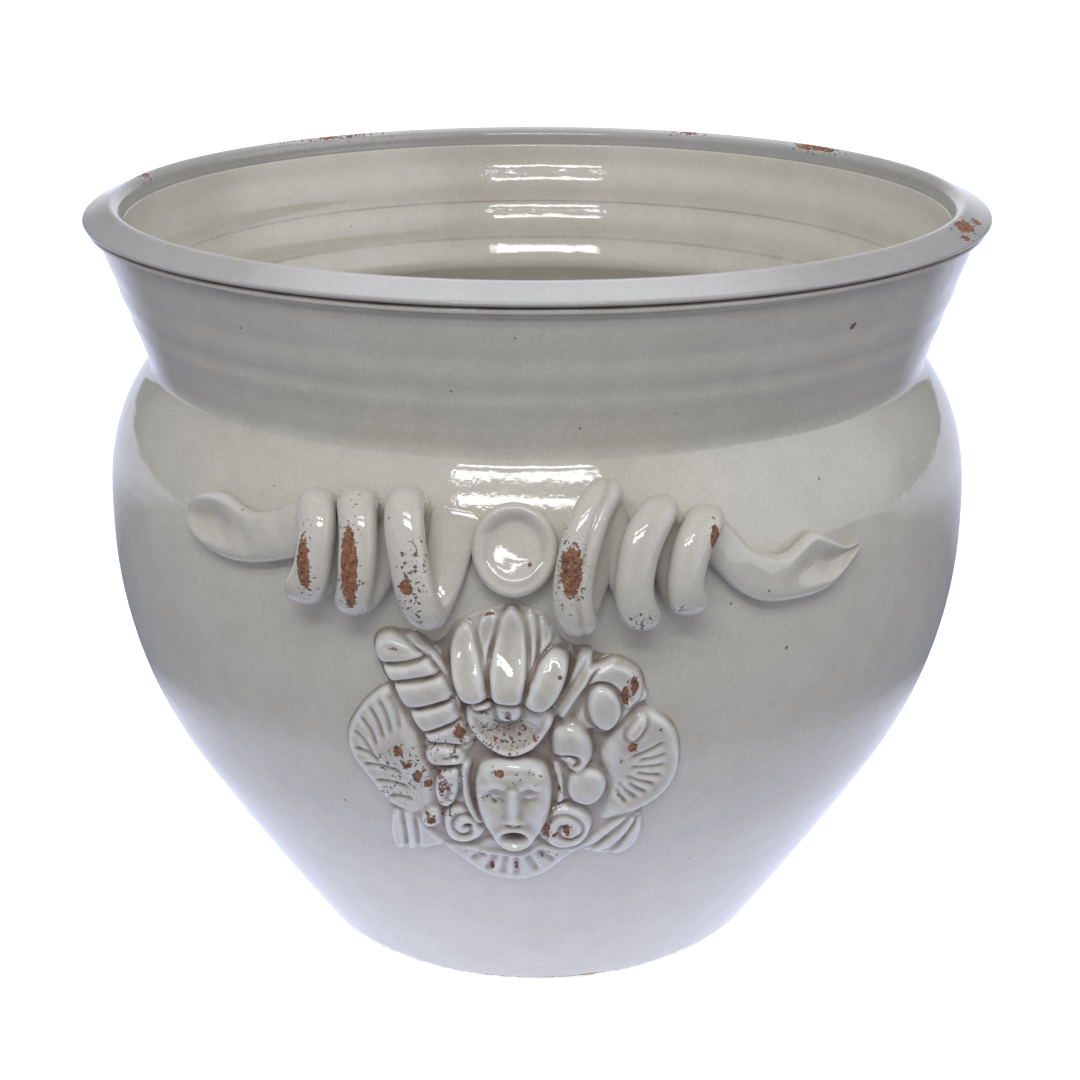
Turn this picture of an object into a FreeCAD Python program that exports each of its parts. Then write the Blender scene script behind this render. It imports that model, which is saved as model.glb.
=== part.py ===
"""Glazed terracotta cachepot: a thrown pot with a flared collar and a rolled rim, dressed with sprigged clay.

Frame: millimetres, +Z up, origin at the middle of the base, and the relief faces -Y.
The pot is thrown in sections that are luted together: a belly bowl, a collar and a rim coil.
The ornaments are rolled or press-moulded clay that is stuck to the belly with slip: two wound ropes with
leaf ends, a round boss between them, and a mask medallion made of shells, curls, a crest and a face.
Places on the belly are given as (side, drop, lift): the arc length to the right of the relief's middle line,
the height below the neck crease, and the distance off the wall.
"""
import FreeCAD, Part
import math
import os
import Sketcher

V = FreeCAD.Vector
HALF_TURN = 180.0
doc = FreeCAD.newDocument("cachepot")

# Driving dimensions in millimetres, one cell each
SIZES = {
    "base_radius": 110.0,
    "belly_radius": 196.0,
    "belly_height": 196.0,
    "belly_arc": 205.0,
    "flank_height": 92.0,
    "shoulder_height": 77.0,
    "neck_inset": 21.5,
    "collar_height": 56.5,
    "collar_flare": 18.5,
    "wall": 11.0,
    "floor_thickness": 14.0,
    "floor_inset": 6.0,
    "floor_rounding": 12.0,
    "foot_rounding": 2.5,
    "flange_height": 4.0,
    "flange_overhang": 4.0,
    "flange_rounding": 1.6,
    "rim_height": 10.5,
    "rim_width": 17.0,
    "rim_overhang": 7.0,
    "rim_outer_rounding": 5.5,
    "rim_lower_rounding": 3.0,
    "rim_inner_rounding": 2.0,
    "boss_radius": 15.5,
    "boss_height": 9.0,
    "boss_lip": 4.0,
    "boss_dish": 2.5,
    "boss_side": 1.6,
    "boss_drop": 31.0,
    "blank_depth": 12.0,
    "rope_turns": 3,
    "rope_radius": 6.2,
    "rope_gap": 2.0,
    "rope_seat": 1.7,
    "strand_lean": 3.0,
    "left_rope_clearance": 0.6,
    "left_rope_pitch": 18.5,
    "left_rope_top": 25.0,
    "left_rope_bottom": 49.5,
    "left_rope_top_step": 2.8,
    "left_rope_bottom_step": 1.5,
    "left_rope_lead": 25.0,
    "right_rope_tuck": 3.6,
    "right_rope_pitch": 19.8,
    "right_rope_top": 23.5,
    "right_rope_bottom": 50.5,
    "right_rope_top_step": 4.5,
    "right_rope_bottom_step": 1.8,
    "right_rope_lead": 4.5,
    "tail_side": 5.5,
    "tail_drop": 7.5,
    "leaf_thickness": 9.0,
    "left_leaf_length": 62.0,
    "left_leaf_width": 21.0,
    "left_leaf_sag": 8.0,
    "left_leaf_tip": 9.0,
    "right_leaf_length": 70.0,
    "right_leaf_width": 21.0,
    "right_leaf_sag": 10.0,
    "right_leaf_tip": 4.0,
    "relief_clearance": 1.5,
    "sprig_gap": 0.6,
    "face_fall": 70.0,
    "face_half_length": 11.0,
    "forehead_radius": 16.0,
    "jaw_radius": 13.0,
    "brow_half_length": 9.0,
    "cheek_side": 8.5,
    "feature_radius": 4.5,
    "mouth_radius": 4.2,
    "mouth_depth": 9.0,
    "diadem_half_length": 9.0,
    "diadem_radius": 9.5,
    "hinge_radius": 5.0,
    "crest_flutes": 5,
    "crest_length": 26.0,
    "crest_side_length": 20.0,
    "crest_spread": 76.0,
    "crest_tip": 6.0,
    "horn_rings": 5,
    "horn_root_radius": 9.0,
    "horn_tip_radius": 7.0,
    "horn_length": 40.0,
    "horn_root_turn": 114.0,
    "horn_turn": 25.0,
    "wing_root_radius": 5.0,
    "wing_tip_radius": 10.0,
    "wing_length": 24.0,
    "wing_root_turn": 80.0,
    "wing_turn": 45.0,
    "scroll_turn": 65.0,
    "scroll_radius": 6.5,
    "scroll_thickness": 4.2,
    "cheek_curl_half_length": 5.5,
    "cheek_curl_radius": 6.5,
    "volute_turn": 125.0,
    "volute_radius": 5.0,
    "volute_thickness": 3.6,
    "bead_radius": 5.0,
    "shell_flutes": 6,
    "shell_first_length": 31.0,
    "shell_last_length": 22.0,
    "shell_first_turn": 25.0,
    "shell_last_turn": 140.0,
    "shell_tip": 5.5,
    "spray_ribs": 3,
    "spray_length": 24.0,
    "spray_first_turn": 122.0,
    "spray_last_turn": 160.0,
    "spray_tip": 3.5,
    "bottom_shell_flutes": 7,
    "bottom_shell_length": 20.0,
    "bottom_shell_spread": 124.0,
    "bottom_shell_tip": 4.0,
}
sheet = doc.addObject("Spreadsheet::Sheet", "sizes")
for row, (alias, value) in enumerate(SIZES.items(), start=1):
    sheet.set("A%d" % row, alias)
    sheet.set("B%d" % row, "%g" % value)
    sheet.setAlias("B%d" % row, alias)
doc.recompute()


def size(alias):
    """One driving dimension, as the sheet holds it."""
    return float(getattr(sheet, alias))


# Radii and heights that follow from the driving dimensions
NECK_RADIUS = size("belly_radius") - size("neck_inset")
NECK_HEIGHT = size("belly_height") + size("shoulder_height")
SHOULDER_ARC = (size("shoulder_height") ** 2 + size("neck_inset") ** 2) / (2 * size("neck_inset"))
COLLAR_RADIUS = NECK_RADIUS + size("collar_flare")
SEAT_HEIGHT = NECK_HEIGHT + size("collar_height")

# The same, as expressions for the sketches
NECK_RADIUS_X = "sizes.belly_radius - sizes.neck_inset"
NECK_HEIGHT_X = "sizes.belly_height + sizes.shoulder_height"
COLLAR_RADIUS_X = NECK_RADIUS_X + " + sizes.collar_flare"
SEAT_HEIGHT_X = NECK_HEIGHT_X + " + sizes.collar_height"
RIM_RADIUS_X = COLLAR_RADIUS_X + " + sizes.rim_overhang"


def flank_curve(foot, inset):
    """Top of the flank, the middle of its arc, and the arc's radius, negative where the arc bulges out.

    The belly arc comes down to flank_height, and the flank is the one arc that is tangent to it there and
    ends at the foot, so it bulges out or curves in as the sizes ask.
    """
    middle = size("belly_radius") - inset - size("belly_arc")
    fall = size("flank_height") - size("belly_height")
    top = (middle + math.sqrt(size("belly_arc") ** 2 - fall ** 2), size("flank_height"))
    normal = ((top[0] - middle) / size("belly_arc"), fall / size("belly_arc"))
    rise = (top[0] - foot[0], top[1] - foot[1])
    reach = -math.hypot(*rise) ** 2 / (2 * (normal[0] * rise[0] + normal[1] * rise[1]))
    return top, (top[0] + reach * normal[0], top[1] + reach * normal[1]), reach


FLANK_MIDDLE, FLANK_REACH = flank_curve((size("base_radius"), 0.0), 0.0)[1:]


def wall_radius(height):
    """Outer radius of the belly bowl at a height: flank arc, belly arc, then shoulder arc."""
    if height < size("flank_height"):
        across = math.sqrt(FLANK_REACH ** 2 - (height - FLANK_MIDDLE[1]) ** 2)
        return FLANK_MIDDLE[0] - math.copysign(across, FLANK_REACH)
    above = height - size("belly_height")
    arc = size("belly_arc") if above < 0 else SHOULDER_ARC
    return size("belly_radius") - arc + math.sqrt(arc ** 2 - above ** 2)


def wall_slope(height):
    """Angle of the belly's outward normal above the horizontal, in radians."""
    if height < size("flank_height"):
        return math.asin((FLANK_MIDDLE[1] - height) / FLANK_REACH)
    above = height - size("belly_height")
    return math.asin(above / (size("belly_arc") if above < 0 else SHOULDER_ARC))


def wall_normal(side, drop):
    """Outward normal of the belly at a place on it."""
    height = NECK_HEIGHT - drop
    turn = side / wall_radius(height)
    slope = wall_slope(height)
    return V(math.sin(turn) * math.cos(slope), -math.cos(turn) * math.cos(slope), math.sin(slope))


def on_wall(side, drop, lift=0.0):
    """Point at a place on the belly, lifted off the wall along its normal."""
    height = NECK_HEIGHT - drop
    radius = wall_radius(height)
    turn = side / radius
    foot = V(radius * math.sin(turn), -radius * math.cos(turn), height)
    return foot + wall_normal(side, drop) * lift


# Sketch helpers


def new_sketch(body, name):
    """Sketch on the body's XZ plane, where sketch X is the radius and sketch Y the height."""
    sketch = body.newObject("Sketcher::SketchObject", name)
    plane = next(f for f in body.Origin.OriginFeatures if f.Role == "XZ_Plane")
    sketch.AttachmentSupport = [(plane, "")]
    sketch.MapMode = "FlatFace"
    return sketch


def add_line(sketch, start, end):
    """Line segment between two (radius, height) points."""
    return sketch.addGeometry(Part.LineSegment(V(*start, 0), V(*end, 0)))


def add_arc(sketch, centre, start, end):
    """Circle arc that runs counterclockwise from start to end."""
    radius = math.dist(centre, start)
    angles = [math.atan2(p[1] - centre[1], p[0] - centre[0]) for p in (start, end)]
    circle = Part.Circle(V(*centre, 0), V(0, 0, 1), radius)
    return sketch.addGeometry(Part.ArcOfCircle(circle, *angles))


def join(sketch, *ends):
    """Makes each pair of (geometry, end) points meet."""
    for (first, first_end), (second, second_end) in ends:
        sketch.addConstraint(Sketcher.Constraint("Coincident", first, first_end, second, second_end))


def fix_point(sketch, geometry, end, radius, height):
    """Binds a point's radius and height to expressions."""
    for kind, expression in (("DistanceX", radius), ("DistanceY", height)):
        if expression == "0":
            axis = -2 if kind == "DistanceX" else -1
            sketch.addConstraint(Sketcher.Constraint("PointOnObject", geometry, end, axis))
            continue
        point = sketch.getPoint(geometry, end)
        value = point.x if kind == "DistanceX" else point.y
        index = sketch.addConstraint(Sketcher.Constraint(kind, -1, 1, geometry, end, value))
        sketch.setExpression("Constraints[%d]" % index, expression)


def wall_line(sketch, foot, inset, foot_x, inset_x):
    """Wall outline of flank, belly and shoulder arcs; gives its foot and neck as (geometry, end)."""
    belly = (size("belly_radius") - inset, size("belly_height"))
    neck = (NECK_RADIUS - inset, NECK_HEIGHT)
    top, middle, reach = flank_curve(foot, inset)
    foot_end, top_end = (1, 2) if reach < 0 else (2, 1)
    flank = add_arc(sketch, middle, *((foot, top) if reach < 0 else (top, foot)))
    arc = add_arc(sketch, (belly[0] - size("belly_arc"), belly[1]), top, belly)
    shoulder = add_arc(sketch, (belly[0] - SHOULDER_ARC, belly[1]), belly, neck)
    sketch.addConstraint(Sketcher.Constraint("Tangent", flank, top_end, arc, 1))
    join(sketch, ((arc, 2), (shoulder, 1)))
    fix_point(sketch, flank, foot_end, *foot_x)
    fix_point(sketch, arc, 2, "sizes.belly_radius" + inset_x, "sizes.belly_height")
    fix_point(sketch, shoulder, 2, NECK_RADIUS_X + inset_x, NECK_HEIGHT_X)
    for curve, end in ((arc, 2), (shoulder, 1)):
        sketch.addConstraint(Sketcher.Constraint("Horizontal", curve, 3, curve, end))
    turn = sketch.addConstraint(Sketcher.Constraint("Radius", arc, size("belly_arc")))
    sketch.setExpression("Constraints[%d]" % turn, "sizes.belly_arc")
    lift = sketch.addConstraint(Sketcher.Constraint("DistanceY", -1, 1, arc, 1, size("flank_height")))
    sketch.setExpression("Constraints[%d]" % lift, "sizes.flank_height")
    return (flank, foot_end), (shoulder, 2)


def close_outline(sketch, points, expressions, first, last):
    """Lines from the end of geometry last through the points to the start of geometry first."""
    previous = sketch.getPoint(*last)
    trail = [(previous.x, previous.y), *points]
    before = last
    for start, end, bound in zip(trail, trail[1:], expressions):
        line = add_line(sketch, start, end)
        join(sketch, (before, (line, 1)))
        fix_point(sketch, line, 2, *bound)
        before = (line, 2)
    start = sketch.getPoint(*before)
    end = sketch.getPoint(*first)
    line = add_line(sketch, (start.x, start.y), (end.x, end.y))
    join(sketch, (before, (line, 1)), ((line, 2), first))


def revolve(body, sketch, name):
    """Full turn of a sketch about its vertical axis."""
    turn = body.newObject("PartDesign::Revolution", name)
    turn.Profile = sketch
    turn.ReferenceAxis = (sketch, ["V_Axis"])
    turn.Angle = 360.0
    doc.recompute()
    return turn


def round_edges(body, base, name, alias, circles):
    """Rounds the circular edges that lie at the given (radius, height) places, by a size from the sheet."""
    names = []
    for number, edge in enumerate(base.Shape.Edges, start=1):
        if not hasattr(edge.Curve, "Radius"):
            continue
        place = (edge.Curve.Radius, edge.Curve.Center.z)
        if any(math.dist(place, circle) < 1e-4 for circle in circles):
            names.append("Edge%d" % number)
    fillet = body.newObject("PartDesign::Fillet", name)
    fillet.Base = (base, names)
    fillet.setExpression("Radius", "sizes." + alias)
    doc.recompute()
    return fillet


def new_body(name):
    """Body whose label names the sub-part's file."""
    body = doc.addObject("PartDesign::Body", name)
    body.Label = name
    return body


# Thrown sections of the pot


def make_belly_form():
    """The belly bowl's outside as a full solid, which shapes the backs of the ornaments."""
    body = new_body("belly_form")
    sketch = new_sketch(body, "belly_form_outline")
    foot = (size("base_radius"), 0.0)
    flank, shoulder = wall_line(sketch, foot, 0.0, ("sizes.base_radius", "0"), "")
    close_outline(
        sketch,
        [(0.0, NECK_HEIGHT), (0.0, 0.0)],
        [("0", NECK_HEIGHT_X), ("0", "0")],
        flank,
        shoulder,
    )
    revolve(body, sketch, "belly_form_turn")
    return body


def make_belly_bowl():
    """Thrown bowl: flat floor, flaring flank, round belly and shoulder up to the neck crease."""
    body = new_body("belly_bowl")
    sketch = new_sketch(body, "belly_bowl_outline")
    floor = size("base_radius") - size("floor_inset")
    outer_x = ("sizes.base_radius", "0")
    inner_x = ("sizes.base_radius - sizes.floor_inset", "sizes.floor_thickness")
    outer = wall_line(sketch, (size("base_radius"), 0.0), 0.0, outer_x, "")
    inner_foot = (floor, size("floor_thickness"))
    inner = wall_line(sketch, inner_foot, size("wall"), inner_x, " - sizes.wall")
    seat = add_line(sketch, (NECK_RADIUS, NECK_HEIGHT), (NECK_RADIUS - size("wall"), NECK_HEIGHT))
    join(sketch, (outer[1], (seat, 1)), (inner[1], (seat, 2)))
    close_outline(
        sketch,
        [(0.0, size("floor_thickness")), (0.0, 0.0)],
        [("0", "sizes.floor_thickness"), ("0", "0")],
        outer[0],
        inner[0],
    )
    turn = revolve(body, sketch, "belly_bowl_turn")
    floor_edge = round_edges(body, turn, "floor_curve", "floor_rounding", [inner_foot])
    round_edges(body, floor_edge, "foot_edge", "foot_rounding", [(size("base_radius"), 0.0)])
    return body


def make_outline_ring(name, corners):
    """Ring turned from an outline of straight lines; a corner is (radius, height, their expressions)."""
    body = new_body(name)
    sketch = new_sketch(body, name + "_outline")
    first = add_line(sketch, corners[0][:2], corners[1][:2])
    fix_point(sketch, first, 1, *corners[0][2:])
    fix_point(sketch, first, 2, *corners[1][2:])
    close_outline(
        sketch,
        [corner[:2] for corner in corners[2:]],
        [corner[2:] for corner in corners[2:]],
        (first, 1),
        (first, 2),
    )
    return body, revolve(body, sketch, name + "_turn")


def make_collar():
    """Flared ring that stands on the bowl's neck and ends in a small flange under the rim coil."""
    under = SEAT_HEIGHT - size("flange_height")
    lip = COLLAR_RADIUS + size("flange_overhang")
    mouth = COLLAR_RADIUS + size("rim_overhang") - size("rim_width")
    lip_x = COLLAR_RADIUS_X + " + sizes.flange_overhang"
    under_x = SEAT_HEIGHT_X + " - sizes.flange_height"
    corners = [
        (NECK_RADIUS, NECK_HEIGHT, NECK_RADIUS_X, NECK_HEIGHT_X),
        (COLLAR_RADIUS, under, COLLAR_RADIUS_X, under_x),
        (lip, under, lip_x, under_x),
        (lip, SEAT_HEIGHT, lip_x, SEAT_HEIGHT_X),
        (mouth, SEAT_HEIGHT, RIM_RADIUS_X + " - sizes.rim_width", SEAT_HEIGHT_X),
        (NECK_RADIUS - size("wall"), NECK_HEIGHT, NECK_RADIUS_X + " - sizes.wall", NECK_HEIGHT_X),
    ]
    body, turn = make_outline_ring("collar", corners)
    round_edges(body, turn, "flange_edge", "flange_rounding", [(lip, under), (lip, SEAT_HEIGHT)])
    return body


def make_rim_coil():
    """Rolled coil of clay that caps the collar and hangs over it on the outside."""
    outer = COLLAR_RADIUS + size("rim_overhang")
    inner = outer - size("rim_width")
    top = SEAT_HEIGHT + size("rim_height")
    inner_x = RIM_RADIUS_X + " - sizes.rim_width"
    top_x = SEAT_HEIGHT_X + " + sizes.rim_height"
    corners = [
        (inner, SEAT_HEIGHT, inner_x, SEAT_HEIGHT_X),
        (outer, SEAT_HEIGHT, RIM_RADIUS_X, SEAT_HEIGHT_X),
        (outer, top, RIM_RADIUS_X, top_x),
        (inner, top, inner_x, top_x),
    ]
    body, turn = make_outline_ring("rim_coil", corners)
    upper = round_edges(body, turn, "rim_upper_edge", "rim_outer_rounding", [(outer, top)])
    lower = round_edges(body, upper, "rim_lower_edge", "rim_lower_rounding", [(outer, SEAT_HEIGHT)])
    round_edges(body, lower, "rim_inner_edge", "rim_inner_rounding", [(inner, top)])
    return body


belly_form = make_belly_form()
make_belly_bowl()
make_collar()
make_rim_coil()
doc.recompute()
FORM = belly_form.Shape

# Boss between the ropes


def make_boss():
    """Round button with a rolled lip and a dished face, whose foot is cut to the belly."""
    body = doc.addObject("PartDesign::Body", "boss_blank")
    sketch = new_sketch(body, "boss_outline")
    outer = size("boss_radius")
    height = size("boss_height")
    depth = size("blank_depth")
    dish = outer - 2 * size("boss_lip")
    floor = height - size("boss_dish")
    corners = [
        ((0.0, -depth), ("0", "-sizes.blank_depth")),
        ((outer, -depth), ("sizes.boss_radius", "-sizes.blank_depth")),
        ((outer, height), ("sizes.boss_radius", "sizes.boss_height")),
        ((dish, height), ("sizes.boss_radius - 2 * sizes.boss_lip", "sizes.boss_height")),
        ((0.0, floor), ("0", "sizes.boss_height - sizes.boss_dish")),
    ]
    first = add_line(sketch, corners[0][0], corners[1][0])
    fix_point(sketch, first, 1, *corners[0][1])
    fix_point(sketch, first, 2, *corners[1][1])
    rest = corners[2:]
    close_outline(sketch, [c[0] for c in rest], [c[1] for c in rest], (first, 1), (first, 2))
    turn = revolve(body, sketch, "boss_turn")
    round_edges(body, turn, "boss_lip_edge", "boss_lip", [(outer, height)])
    place = (size("boss_side"), size("boss_drop"))
    body.Placement = FreeCAD.Placement(on_wall(*place), FreeCAD.Rotation(V(0, 0, 1), wall_normal(*place)))
    boss = doc.addObject("Part::Cut", "boss")
    boss.Base = body
    boss.Tool = belly_form
    boss.Label = "boss"


make_boss()
doc.recompute()

# Wound ropes and their leaf ends

ROPE = size("rope_radius")
BACK_LIFT = ROPE - size("rope_seat")
FRONT_LIFT = BACK_LIFT + 2 * ROPE + size("rope_gap")

# Shares of the pitch by which a back strand stands off the front strands that it joins
AFTER_TOP = 0.35
BEFORE_BOTTOM = 0.28


def rope_runs(hand, first_side):
    """Strands of a rope from its middle end to its leaf, each as (lift, start, end) with (side, drop) places.

    Turn n climbs in front at first_side + n * pitch and leans outwards; it bends over its top, comes down
    behind, and bends under to the next turn. Each turn is a step lower at its top and higher at its bottom.
    """
    sign = -1.0 if hand == "left" else 1.0
    pitch = size(hand + "_rope_pitch")
    lean = size("strand_lean")
    turns = range(int(size("rope_turns")))
    tops = [size(hand + "_rope_top") + n * size(hand + "_rope_top_step") for n in turns]
    bottoms = [size(hand + "_rope_bottom") - n * size(hand + "_rope_bottom_step") for n in turns]
    lead = size(hand + "_rope_lead")
    foot = first_side - BEFORE_BOTTOM * pitch
    strands = [(BACK_LIFT, (foot - lead * lean / pitch, bottoms[0] - lead), (foot, bottoms[0]))]
    for turn, (top, bottom) in enumerate(zip(tops, bottoms)):
        side = first_side + turn * pitch
        over = side + lean + AFTER_TOP * pitch
        strands.append((FRONT_LIFT, (side, bottom), (side + lean, top)))
        if turn + 1 < len(tops):
            under = side + (1 - BEFORE_BOTTOM) * pitch
            strands.append((BACK_LIFT, (over, top), (under, bottoms[turn + 1])))
        else:
            strands.append((BACK_LIFT, (over, top), (over + size("tail_side"), top + size("tail_drop"))))
    return [(lift, (sign * a[0], a[1]), (sign * b[0], b[1])) for lift, a, b in strands]


def arc_from(start, heading, end):
    """Arc from start to end that leaves along heading."""
    chord = end - start
    across = (chord - heading * chord.dot(heading)).normalize()
    radius = chord.Length ** 2 / (2 * chord.dot(across))
    turn = 2 * math.atan2(chord.dot(across), chord.dot(heading))
    centre = start + across * radius
    middle = centre - across * (radius * math.cos(turn / 2)) + heading * (radius * math.sin(turn / 2))
    return Part.Arc(start, middle, end).toShape()


def bend_between(start, out_heading, end, in_heading):
    """Two arcs that join tangentially and turn a path from one heading to another."""
    chord = end - start
    both = out_heading + in_heading
    square = 2 * (1 - out_heading.dot(in_heading))
    half = chord.dot(both)
    reach = (-half + math.sqrt(half ** 2 + square * chord.dot(chord))) / square
    middle = (start + end + (out_heading - in_heading) * reach) * 0.5
    through = (chord - both * reach).normalize()
    return [arc_from(start, out_heading, middle), arc_from(middle, through, end)]


def rope_path(runs):
    """Straight strands joined by tangent bends, as one wire, with the heading of each strand."""
    strands = [(on_wall(*start, lift), on_wall(*end, lift)) for lift, start, end in runs]
    headings = [(end - start).normalize() for start, end in strands]
    edges = [Part.LineSegment(*strands[0]).toShape()]
    for before, (start, end) in enumerate(strands[1:]):
        edges += bend_between(strands[before][1], headings[before], start, headings[before + 1])
        edges.append(Part.LineSegment(start, end).toShape())
    return Part.Wire(edges), headings


def least_gap(wire, radius):
    """Least distance of a tube to itself, measured on points that lie more than a half turn apart."""
    spacing = radius / 4
    points = wire.discretize(Distance=spacing)
    apart = math.ceil(1.5 * math.pi * radius / spacing)
    pairs = ((a, b) for i, a in enumerate(points) for b in points[i + apart:])
    return min(a.distanceToPoint(b) for a, b in pairs) - 2 * radius


def leaf_section(centre, along, normal, width, thickness):
    """Lens of two arcs that stands across a leaf's line."""
    across = normal.cross(along).normalize() * (width / 2)
    up = normal * (thickness / 2)
    top = Part.Arc(centre - across, centre + up, centre + across).toShape()
    bottom = Part.Arc(centre + across, centre - up, centre - across).toShape()
    return Part.Wire([top, bottom])


def leaf_shape(hand, path, heading, root):
    """Flattened end of a rope: a loft from the rope's round end through lens sections to the tip.

    The leaf's middle line runs outwards by its length and sags in between like a shallow bowl.
    """
    sign = -1.0 if hand == "left" else 1.0
    width = size(hand + "_leaf_width")
    tip = size(hand + "_leaf_tip")
    end = path.Edges[-1].valueAt(path.Edges[-1].LastParameter)
    shares = (0.25, 0.5, 0.75, 1.0)
    widths = (2 * ROPE + (width - 2 * ROPE) / 3, 2 * ROPE + (width - 2 * ROPE) * 2 / 3, width, tip)
    places = []
    for share in shares:
        sag = 4 * share * (1 - share) * size(hand + "_leaf_sag")
        places.append((root[0] + sign * share * size(hand + "_leaf_length"), root[1] + sag))
    trail = [end] + [on_wall(*place, size("leaf_thickness") / 4) for place in places]
    trail.append(trail[-1] * 2 - trail[-2])
    wires = [leaf_section(end, heading, wall_normal(*places[0]), 2 * ROPE, 2 * ROPE)]
    for number, (place, wide) in enumerate(zip(places, widths), start=1):
        along = (trail[number + 1] - trail[number - 1]).normalize()
        thickness = size("leaf_thickness") * wide / width
        wires.append(leaf_section(trail[number], along, wall_normal(*place), wide, thickness))
    return Part.makeLoft(wires, True)


def main_solid(shape):
    """The largest solid of a cut shape, without the slivers that a cut leaves behind."""
    return max(shape.Solids, key=lambda solid: solid.Volume)


def add_feature(label, shape):
    """Sub-part with a shape of its own."""
    feature = doc.addObject("Part::Feature", label)
    feature.Shape = shape
    feature.Label = label
    return shape


def make_rope(hand, first_side):
    """One wound rope and its leaf, with their backs pressed against the belly."""
    runs = rope_runs(hand, first_side)
    path, headings = rope_path(runs)
    ring = Part.Wire(Part.Circle(path.Vertexes[0].Point, headings[0], ROPE).toShape())
    tube = path.makePipeShell([ring], True, False)
    bends = [edge.Curve.Radius for edge in path.Edges if hasattr(edge.Curve, "Radius")]
    print("%s_rope volume %.0f of %.0f, tightest bend %.2f, least gap to itself %.2f" % (
        hand, tube.Volume, math.pi * ROPE ** 2 * path.Length, min(bends), least_gap(path, ROPE)))
    rope = add_feature(hand + "_rope", main_solid(tube.cut(FORM)))
    blade = leaf_shape(hand, path, headings[-1], runs[-1][2])
    add_feature(hand + "_leaf", main_solid(blade.cut(FORM).cut(rope)))


BOSS_REACH = size("boss_radius") + ROPE
LEFT_LEAD_TOP = BOSS_REACH + size("left_rope_clearance") - size("boss_side")
LEFT_PITCH = size("left_rope_pitch")
LEFT_FOOT = LEFT_LEAD_TOP + size("left_rope_lead") * size("strand_lean") / LEFT_PITCH
make_rope("left", LEFT_FOOT + BEFORE_BOTTOM * LEFT_PITCH)
RIGHT_FOOT = size("boss_side") + BOSS_REACH - size("right_rope_tuck")
make_rope("right", RIGHT_FOOT + BEFORE_BOTTOM * size("right_rope_pitch"))

# Mask medallion

# Its places are (side, fall): the fall starts just below the right rope's first turn
RELIEF_DROP = size("right_rope_bottom") + 2 * ROPE + size("rope_gap") + size("relief_clearance")
# Shares of its radius that a round lump's middle stands off the belly, and of its tip that a flute's root has
LUMP_LIFT = 0.3
FLUTE_TAPER = 0.55
HANDS = (("left", -1.0), ("right", 1.0))
GAP = size("sprig_gap")
HINGE = size("hinge_radius")


def at(side, fall, lift=0.0):
    """Point of the medallion, lifted off the belly."""
    return on_wall(side, RELIEF_DROP + fall, lift)


def ball(centre, radius):
    """Sphere about a point, with its poles in and out of the pot."""
    return Part.makeSphere(radius, centre, V(centre.x, centre.y, 0))


def tapered_bar(tail, tail_radius, head, head_radius):
    """Two balls and the cone that is tangent to both, turned from one outline about their line."""
    length = tail.distanceToPoint(head)
    tilt = math.asin((head_radius - tail_radius) / length)
    outline = []
    for centre, radius, end in ((0.0, tail_radius, -1.0), (length, head_radius, 1.0)):
        rise = math.pi / 2 + tilt
        touch = V(centre + radius * math.cos(rise), radius * math.sin(rise), 0)
        turn = (rise + (math.pi if end < 0 else 0.0)) / 2
        middle = V(centre + radius * math.cos(turn), radius * math.sin(turn), 0)
        outline.append((V(centre + end * radius, 0, 0), middle, touch))
    (start, start_middle, start_touch), (stop, stop_middle, stop_touch) = outline
    wire = Part.Wire([
        Part.Arc(start, start_middle, start_touch).toShape(),
        Part.LineSegment(start_touch, stop_touch).toShape(),
        Part.Arc(stop_touch, stop_middle, stop).toShape(),
        Part.LineSegment(stop, start).toShape(),
    ])
    bar = Part.Face(wire).revolve(V(0, 0, 0), V(1, 0, 0), 360)
    bar.Placement = FreeCAD.Placement(tail, FreeCAD.Rotation(V(1, 0, 0), head - tail))
    return bar


def bedded(side, fall, radius):
    """Middle of a round lump that is pressed a part of its radius into the belly."""
    return at(side, fall, LUMP_LIFT * radius)


def away(place, distance, turn):
    """Place at a distance from another on the belly; turns are degrees clockwise from straight up."""
    angle = math.radians(turn)
    return place[0] + distance * math.sin(angle), place[1] - distance * math.cos(angle)


def spread(first, last, count):
    """Evenly spaced values from first to last."""
    return [first + (last - first) * number / (count - 1) for number in range(count)]


def fan(hinge, turns, lengths, tip):
    """Flutes that spread from a hinge ball, one for each turn and length."""
    lumps = [ball(bedded(*hinge, HINGE), HINGE)]
    root = FLUTE_TAPER * tip
    for turn, length in zip(turns, lengths):
        near = bedded(*away(hinge, HINGE, turn), root)
        far = bedded(*away(hinge, length, turn), tip)
        lumps.append(tapered_bar(near, root, far, tip))
    return lumps


def curl(place, radius, thickness):
    """Rolled coil seen end on: a ring of clay round a ball."""
    middle = at(*place, thickness / 2)
    ring = Part.makeTorus(radius, thickness, middle, wall_normal(place[0], RELIEF_DROP + place[1]))
    return [ring, ball(middle, radius)]


def add_sprig(label, lumps, hole=None):
    """Fuses a sprig's lumps, beds it on the belly and cuts its hole."""
    shape = lumps[0].multiFuse(lumps[1:]) if len(lumps) > 1 else lumps[0]
    if hole:
        shape = shape.cut(hole)
    add_feature(label, main_solid(shape.cut(FORM)))


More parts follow.
